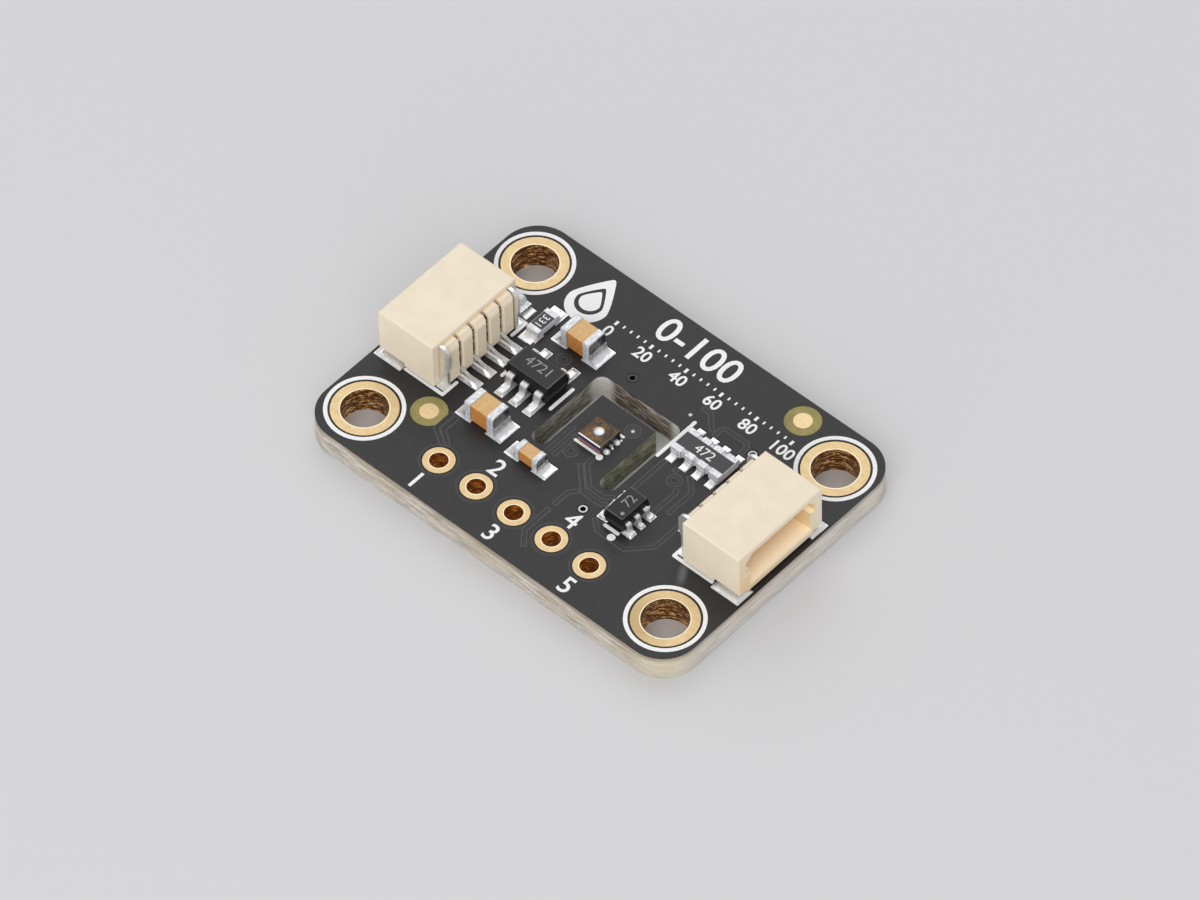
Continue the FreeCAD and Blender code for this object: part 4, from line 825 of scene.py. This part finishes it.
# Print
def glyphs(text, centre, height, level, turn=0.0, weight=0.0):
    """A line of numbers with its middle at centre, turned by degrees."""
    curve = bpy.data.curves.new("line", "FONT")
    curve.body = text
    curve.offset = weight
    curve.resolution_u = LETTER_STEPS
    source = bpy.data.objects.new("line", curve)
    mesh = bpy.data.meshes.new_from_object(source)
    points = [v.co.copy() for v in mesh.vertices]
    faces = [list(p.vertices) for p in mesh.polygons]
    bpy.data.objects.remove(source)
    bpy.data.meshes.remove(mesh)
    low = Vector((min(p.x for p in points), min(p.y for p in points)))
    high = Vector((max(p.x for p in points), max(p.y for p in points)))
    middle = (low + high) / 2
    size = height / (high.y - low.y)
    spin = Matrix.Rotation(math.radians(turn), 2)
    placed = []
    for p in points:
        flat = spin @ Vector(((p.x - middle.x) * size, (p.y - middle.y) * size))
        placed.append((flat.x + centre[0], flat.y + centre[1], level))
    return placed, faces


def bar(x0, y0, x1, y1, level):
    return [(x0, y0, level), (x1, y0, level), (x1, y1, level), (x0, y1, level)], [(0, 1, 2, 3)]


def scale_marks(level):
    """A ruler of fine ticks with a number under each long one."""
    x0, y0, x1, y1 = SCALE_BOX
    between = (SCALE_TICKS - 1) // (SCALE_STEPS - 1)
    parts = []
    for i in range(SCALE_TICKS):
        x = x0 + (x1 - x0) * i / (SCALE_TICKS - 1)
        half, length = SHORT_TICK if i % between else LONG_TICK
        parts.append(bar(x - half, y1 - length, x + half, y1, level))
    for i in range(SCALE_STEPS):
        centre = (x0 + (x1 - x0) * i / (SCALE_STEPS - 1), y0 + SCALE_NUMBER_HEIGHT / 2)
        number = str(i * SCALE_UNITS)
        parts.append(glyphs(number, centre, SCALE_NUMBER_HEIGHT, level, weight=SCALE_WEIGHT))
    return join(parts)


def hole_numbers(level):
    """A number at each header hole, in turn in front of it and behind it."""
    parts = []
    for i in range(HEADER_HOLES):
        foot = LABELS_BELOW_Y if i % 2 == 0 else LABELS_ABOVE_Y
        centre = (HEADER_X + i * HEADER_PITCH, foot + LABEL_HEIGHT / 2)
        parts.append(glyphs(str(i + 1), centre, LABEL_HEIGHT, level, weight=PRINT_WEIGHT))
    return join(parts)


def drop_outline(sink=0.0, less_radius=0.0, less_height=0.0):
    """A plain water drop: a circle below, drawn to a point above."""
    radius = DROP_RADIUS - less_radius
    height = DROP_HEIGHT - less_height
    middle = DROP_CENTRE[1] - sink - (height / 2 - radius)
    points = []
    for i in range(DROP_CORNERS):
        a = 2 * math.pi * i / DROP_CORNERS
        rise = max(0.0, math.sin(a))
        x = radius * math.cos(a) * (1 - DROP_TAPER * rise ** DROP_TAPER_POWER)
        y = (height - radius) * rise ** DROP_RISE_POWER if rise else radius * math.sin(a)
        points.append((DROP_CENTRE[0] + x, middle + y))
    return points


def drop_mark(level):
    """The drop as a broad ring round a small one of the same shape."""
    outer, gap, core = drop_outline(), drop_outline(*DROP_GAP), drop_outline(*DROP_CORE)
    count = DROP_CORNERS
    vertices = [(x, y, level) for x, y in outer + gap + core]
    faces = [(i, (i + 1) % count, count + (i + 1) % count, count + i) for i in range(count)]
    faces.append(tuple(range(2 * count, 3 * count)))
    return vertices, faces


def top_of(node):
    """Middle of a node's top, and the level of print on it."""
    low, high = (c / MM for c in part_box(node))
    middle = (low + high) / 2
    return middle.x, middle.y, high.z + INK_LIFT


def chip_number(name, node, text, height, look, turn=0.0, lift=0.0):
    """A number on a chip, moved by lift along Y from the middle of its top."""
    x, y, level = top_of(node)
    piece(name, *glyphs(text, (x, y + lift), height, level, turn), look, "silkscreen")


def pin_mark():
    """A round dot beside the first pin of the transistor pair."""
    x, y, level = top_of("level_shifter_body")
    points = []
    for i in range(PIN_MARK_CORNERS):
        a = 2 * math.pi * i / PIN_MARK_CORNERS
        points.append((x + PIN_MARK[0] + PIN_MARK_RADIUS * math.cos(a),
                       y + PIN_MARK[1] + PIN_MARK_RADIUS * math.sin(a), level))
    return points, [tuple(range(PIN_MARK_CORNERS))]


ink_level = BOARD_TOP + 2 * INK_LIFT
title = glyphs("0-100", TITLE_CENTRE, TITLE_HEIGHT, ink_level, weight=PRINT_WEIGHT)
piece("print_title", *title, ink, "silkscreen")
piece("print_scale", *scale_marks(ink_level), ink, "silkscreen")
piece("print_drop", *drop_mark(ink_level), ink, "silkscreen")
piece("print_hole_numbers", *hole_numbers(ink_level), ink, "silkscreen")
chip_number("mark_regulator", "regulator_body", "4721", 0.60, mark, lift=0.12)
chip_number("mark_array", "resistor_array_coating", "472", 0.56, ink)
chip_number("mark_shifter", "level_shifter_body", "72", 0.54, mark, turn=90.0, lift=0.2)
chip_number("mark_resistor", "chip_resistor_coating", "331", 0.42, ink, turn=-90.0)
piece("mark_shifter_dot", *pin_mark(), mark, "silkscreen")


# Solder beads
def bead(x, y, radius):
    """A slightly uneven dome on the coating."""
    vertices, faces = [], []
    for i in range(BEAD_RINGS):
        lift = i / BEAD_RINGS * math.pi / 2
        level = BOARD_TOP + BEAD_RISE * radius * math.sin(lift)
        for k in range(BEAD_SIDES):
            turn = 2 * math.pi * k / BEAD_SIDES
            oval = BEAD_OVAL * math.sin(2 * turn + BEAD_TWIST * x)
            ripple = BEAD_RIPPLE * math.sin(BEAD_RIPPLES * turn)
            reach = radius * math.cos(lift) * (1 + oval + ripple)
            vertices.append((x + reach * math.cos(turn), y + reach * math.sin(turn), level))
    vertices.append((x, y, BOARD_TOP + BEAD_RISE * radius))
    for i in range(BEAD_RINGS - 1):
        for k in range(BEAD_SIDES):
            a, b = i * BEAD_SIDES + k, i * BEAD_SIDES + (k + 1) % BEAD_SIDES
            faces.append((a, b, b + BEAD_SIDES, a + BEAD_SIDES))
    last = (BEAD_RINGS - 1) * BEAD_SIDES
    tip = len(vertices) - 1
    faces += [(last + k, last + (k + 1) % BEAD_SIDES, tip) for k in range(BEAD_SIDES)]
    return vertices, faces


beads = join([bead(*place) for place in BEADS])
piece("sensor_solder_beads", *beads, bead_tin, "solder", smooth=True)


# Copper under the coating
def ridge_profile(width, height):
    """Offset and height of the four lines of a flat-topped ridge with sloping sides."""
    half = width / 2
    foot = half + RIDGE_SLOPE
    return (-foot, RIDGE_ROOT), (-half, height), (half, height), (foot, RIDGE_ROOT)


def ridge(points, width, height):
    """A low ridge along a line of points, which slopes down at its ends too."""
    line = [Vector(p) for p in points]
    first = line[0] + (line[0] - line[1]).normalized() * RIDGE_SLOPE
    last = line[-1] + (line[-1] - line[-2]).normalized() * RIDGE_SLOPE
    line = [first, *line, last]
    vertices, faces = [], []
    for i, p in enumerate(line):
        tip = i in (0, len(line) - 1)
        before = (p - line[i - 1]).normalized() if i else None
        after = (line[i + 1] - p).normalized() if i + 1 < len(line) else None
        way = ((before or after) + (after or before)).normalized()
        across = Vector((-way.y, way.x)) / max(MITRE_LIMIT, way.dot(after or before))
        for offset, rise in ridge_profile(width, height):
            q = p + across * offset
            vertices.append((q.x, q.y, BOARD_TOP + (RIDGE_ROOT if tip else rise)))
    for i in range(len(line) - 1):
        for k in range(3):
            a = 4 * i + k
            faces.append((a, a + 1, a + 5, a + 4))
    return vertices, faces


def ring(x, y, radius, width, height):
    """The same ridge closed to a circle."""
    vertices, faces = [], []
    for i in range(RING_CORNERS):
        angle = 2 * math.pi * i / RING_CORNERS
        for offset, rise in ridge_profile(width, height):
            reach = radius - offset
            vertices.append((x + reach * math.cos(angle), y + reach * math.sin(angle),
                             BOARD_TOP + rise))
        for k in range(3):
            a = 4 * i + k
            b = 4 * ((i + 1) % RING_CORNERS) + k
            faces.append((a, a + 1, b + 1, b))
    return vertices, faces


copper = [ridge(line, RIDGE_WIDTH, RIDGE_HEIGHT) for line in RIDGES]
copper += [ring(*via, VIA_RING_WIDTH, RIDGE_HEIGHT) for via in COVERED_VIAS]
for i in range(HEADER_HOLES):
    copper.append(ring(HEADER_X + i * HEADER_PITCH, HEADER_Y, HEADER_RING_RADIUS,
                       HEADER_RING_WIDTH, RIDGE_HEIGHT * HEADER_RING_SHARE))
piece("copper_under_coating", *join(copper), raised, "solder_mask")


# Camera, floor and light
def aim_camera():
    az = math.radians(VIEW_AZIMUTH)
    el = math.radians(VIEW_ELEVATION)
    roll = math.radians(VIEW_ROLL)
    back = Vector((math.sin(az) * math.cos(el), -math.cos(az) * math.cos(el), math.sin(el)))
    right = Vector((math.cos(az), math.sin(az), 0.0))
    up = back.cross(right)
    across = right * math.cos(roll) + up * math.sin(roll)
    upward = -right * math.sin(roll) + up * math.cos(roll)
    place = back * VIEW_DISTANCE - across * VIEW_SHIFT[0] - upward * VIEW_SHIFT[1]
    data = bpy.data.cameras.new("camera")
    data.lens = VIEW_LENS
    data.sensor_width = SENSOR_WIDTH
    data.clip_start = NEAR_CLIP
    camera = bpy.data.objects.new("camera", data)
    matrix = Matrix((across, upward, back)).transposed().to_4x4()
    matrix.translation = place * MM
    camera.matrix_world = matrix
    bpy.context.scene.collection.objects.link(camera)
    bpy.context.scene.camera = camera


def lay_floor():
    half = FLOOR_SIZE / 2
    corners, faces = bar(-half, -half, half, half, 0.0)
    mesh = bpy.data.meshes.new("floor")
    mesh.from_pydata(corners, [], faces)
    mesh.materials.append(floor_material())
    floor = bpy.data.objects.new("floor", mesh)
    bpy.context.scene.collection.objects.link(floor)


def add_lamp(name, place, size, power):
    """A round soft lamp that looks at the board."""
    data = bpy.data.lights.new(name, "AREA")
    data.shape = "DISK"
    data.size = size
    data.energy = power
    lamp = bpy.data.objects.new(name, data)
    lamp.location = place
    lamp.rotation_euler = Vector(place).to_track_quat("Z", "Y").to_euler()
    bpy.context.scene.collection.objects.link(lamp)


def add_sky():
    world = bpy.data.worlds.new("sky")
    world.use_nodes = True
    sky = world.node_tree.nodes["Background"]
    sky.inputs["Color"].default_value = (1.0, 1.0, 1.0, 1.0)
    sky.inputs["Strength"].default_value = SKY_LEVEL
    bpy.context.scene.world = world


aim_camera()
lay_floor()
add_lamp("key", KEY_PLACE, KEY_SIZE, KEY_POWER)
add_lamp("fill", FILL_PLACE, FILL_SIZE, FILL_POWER)
add_sky()
bpy.context.scene.view_settings.view_transform = "Standard"
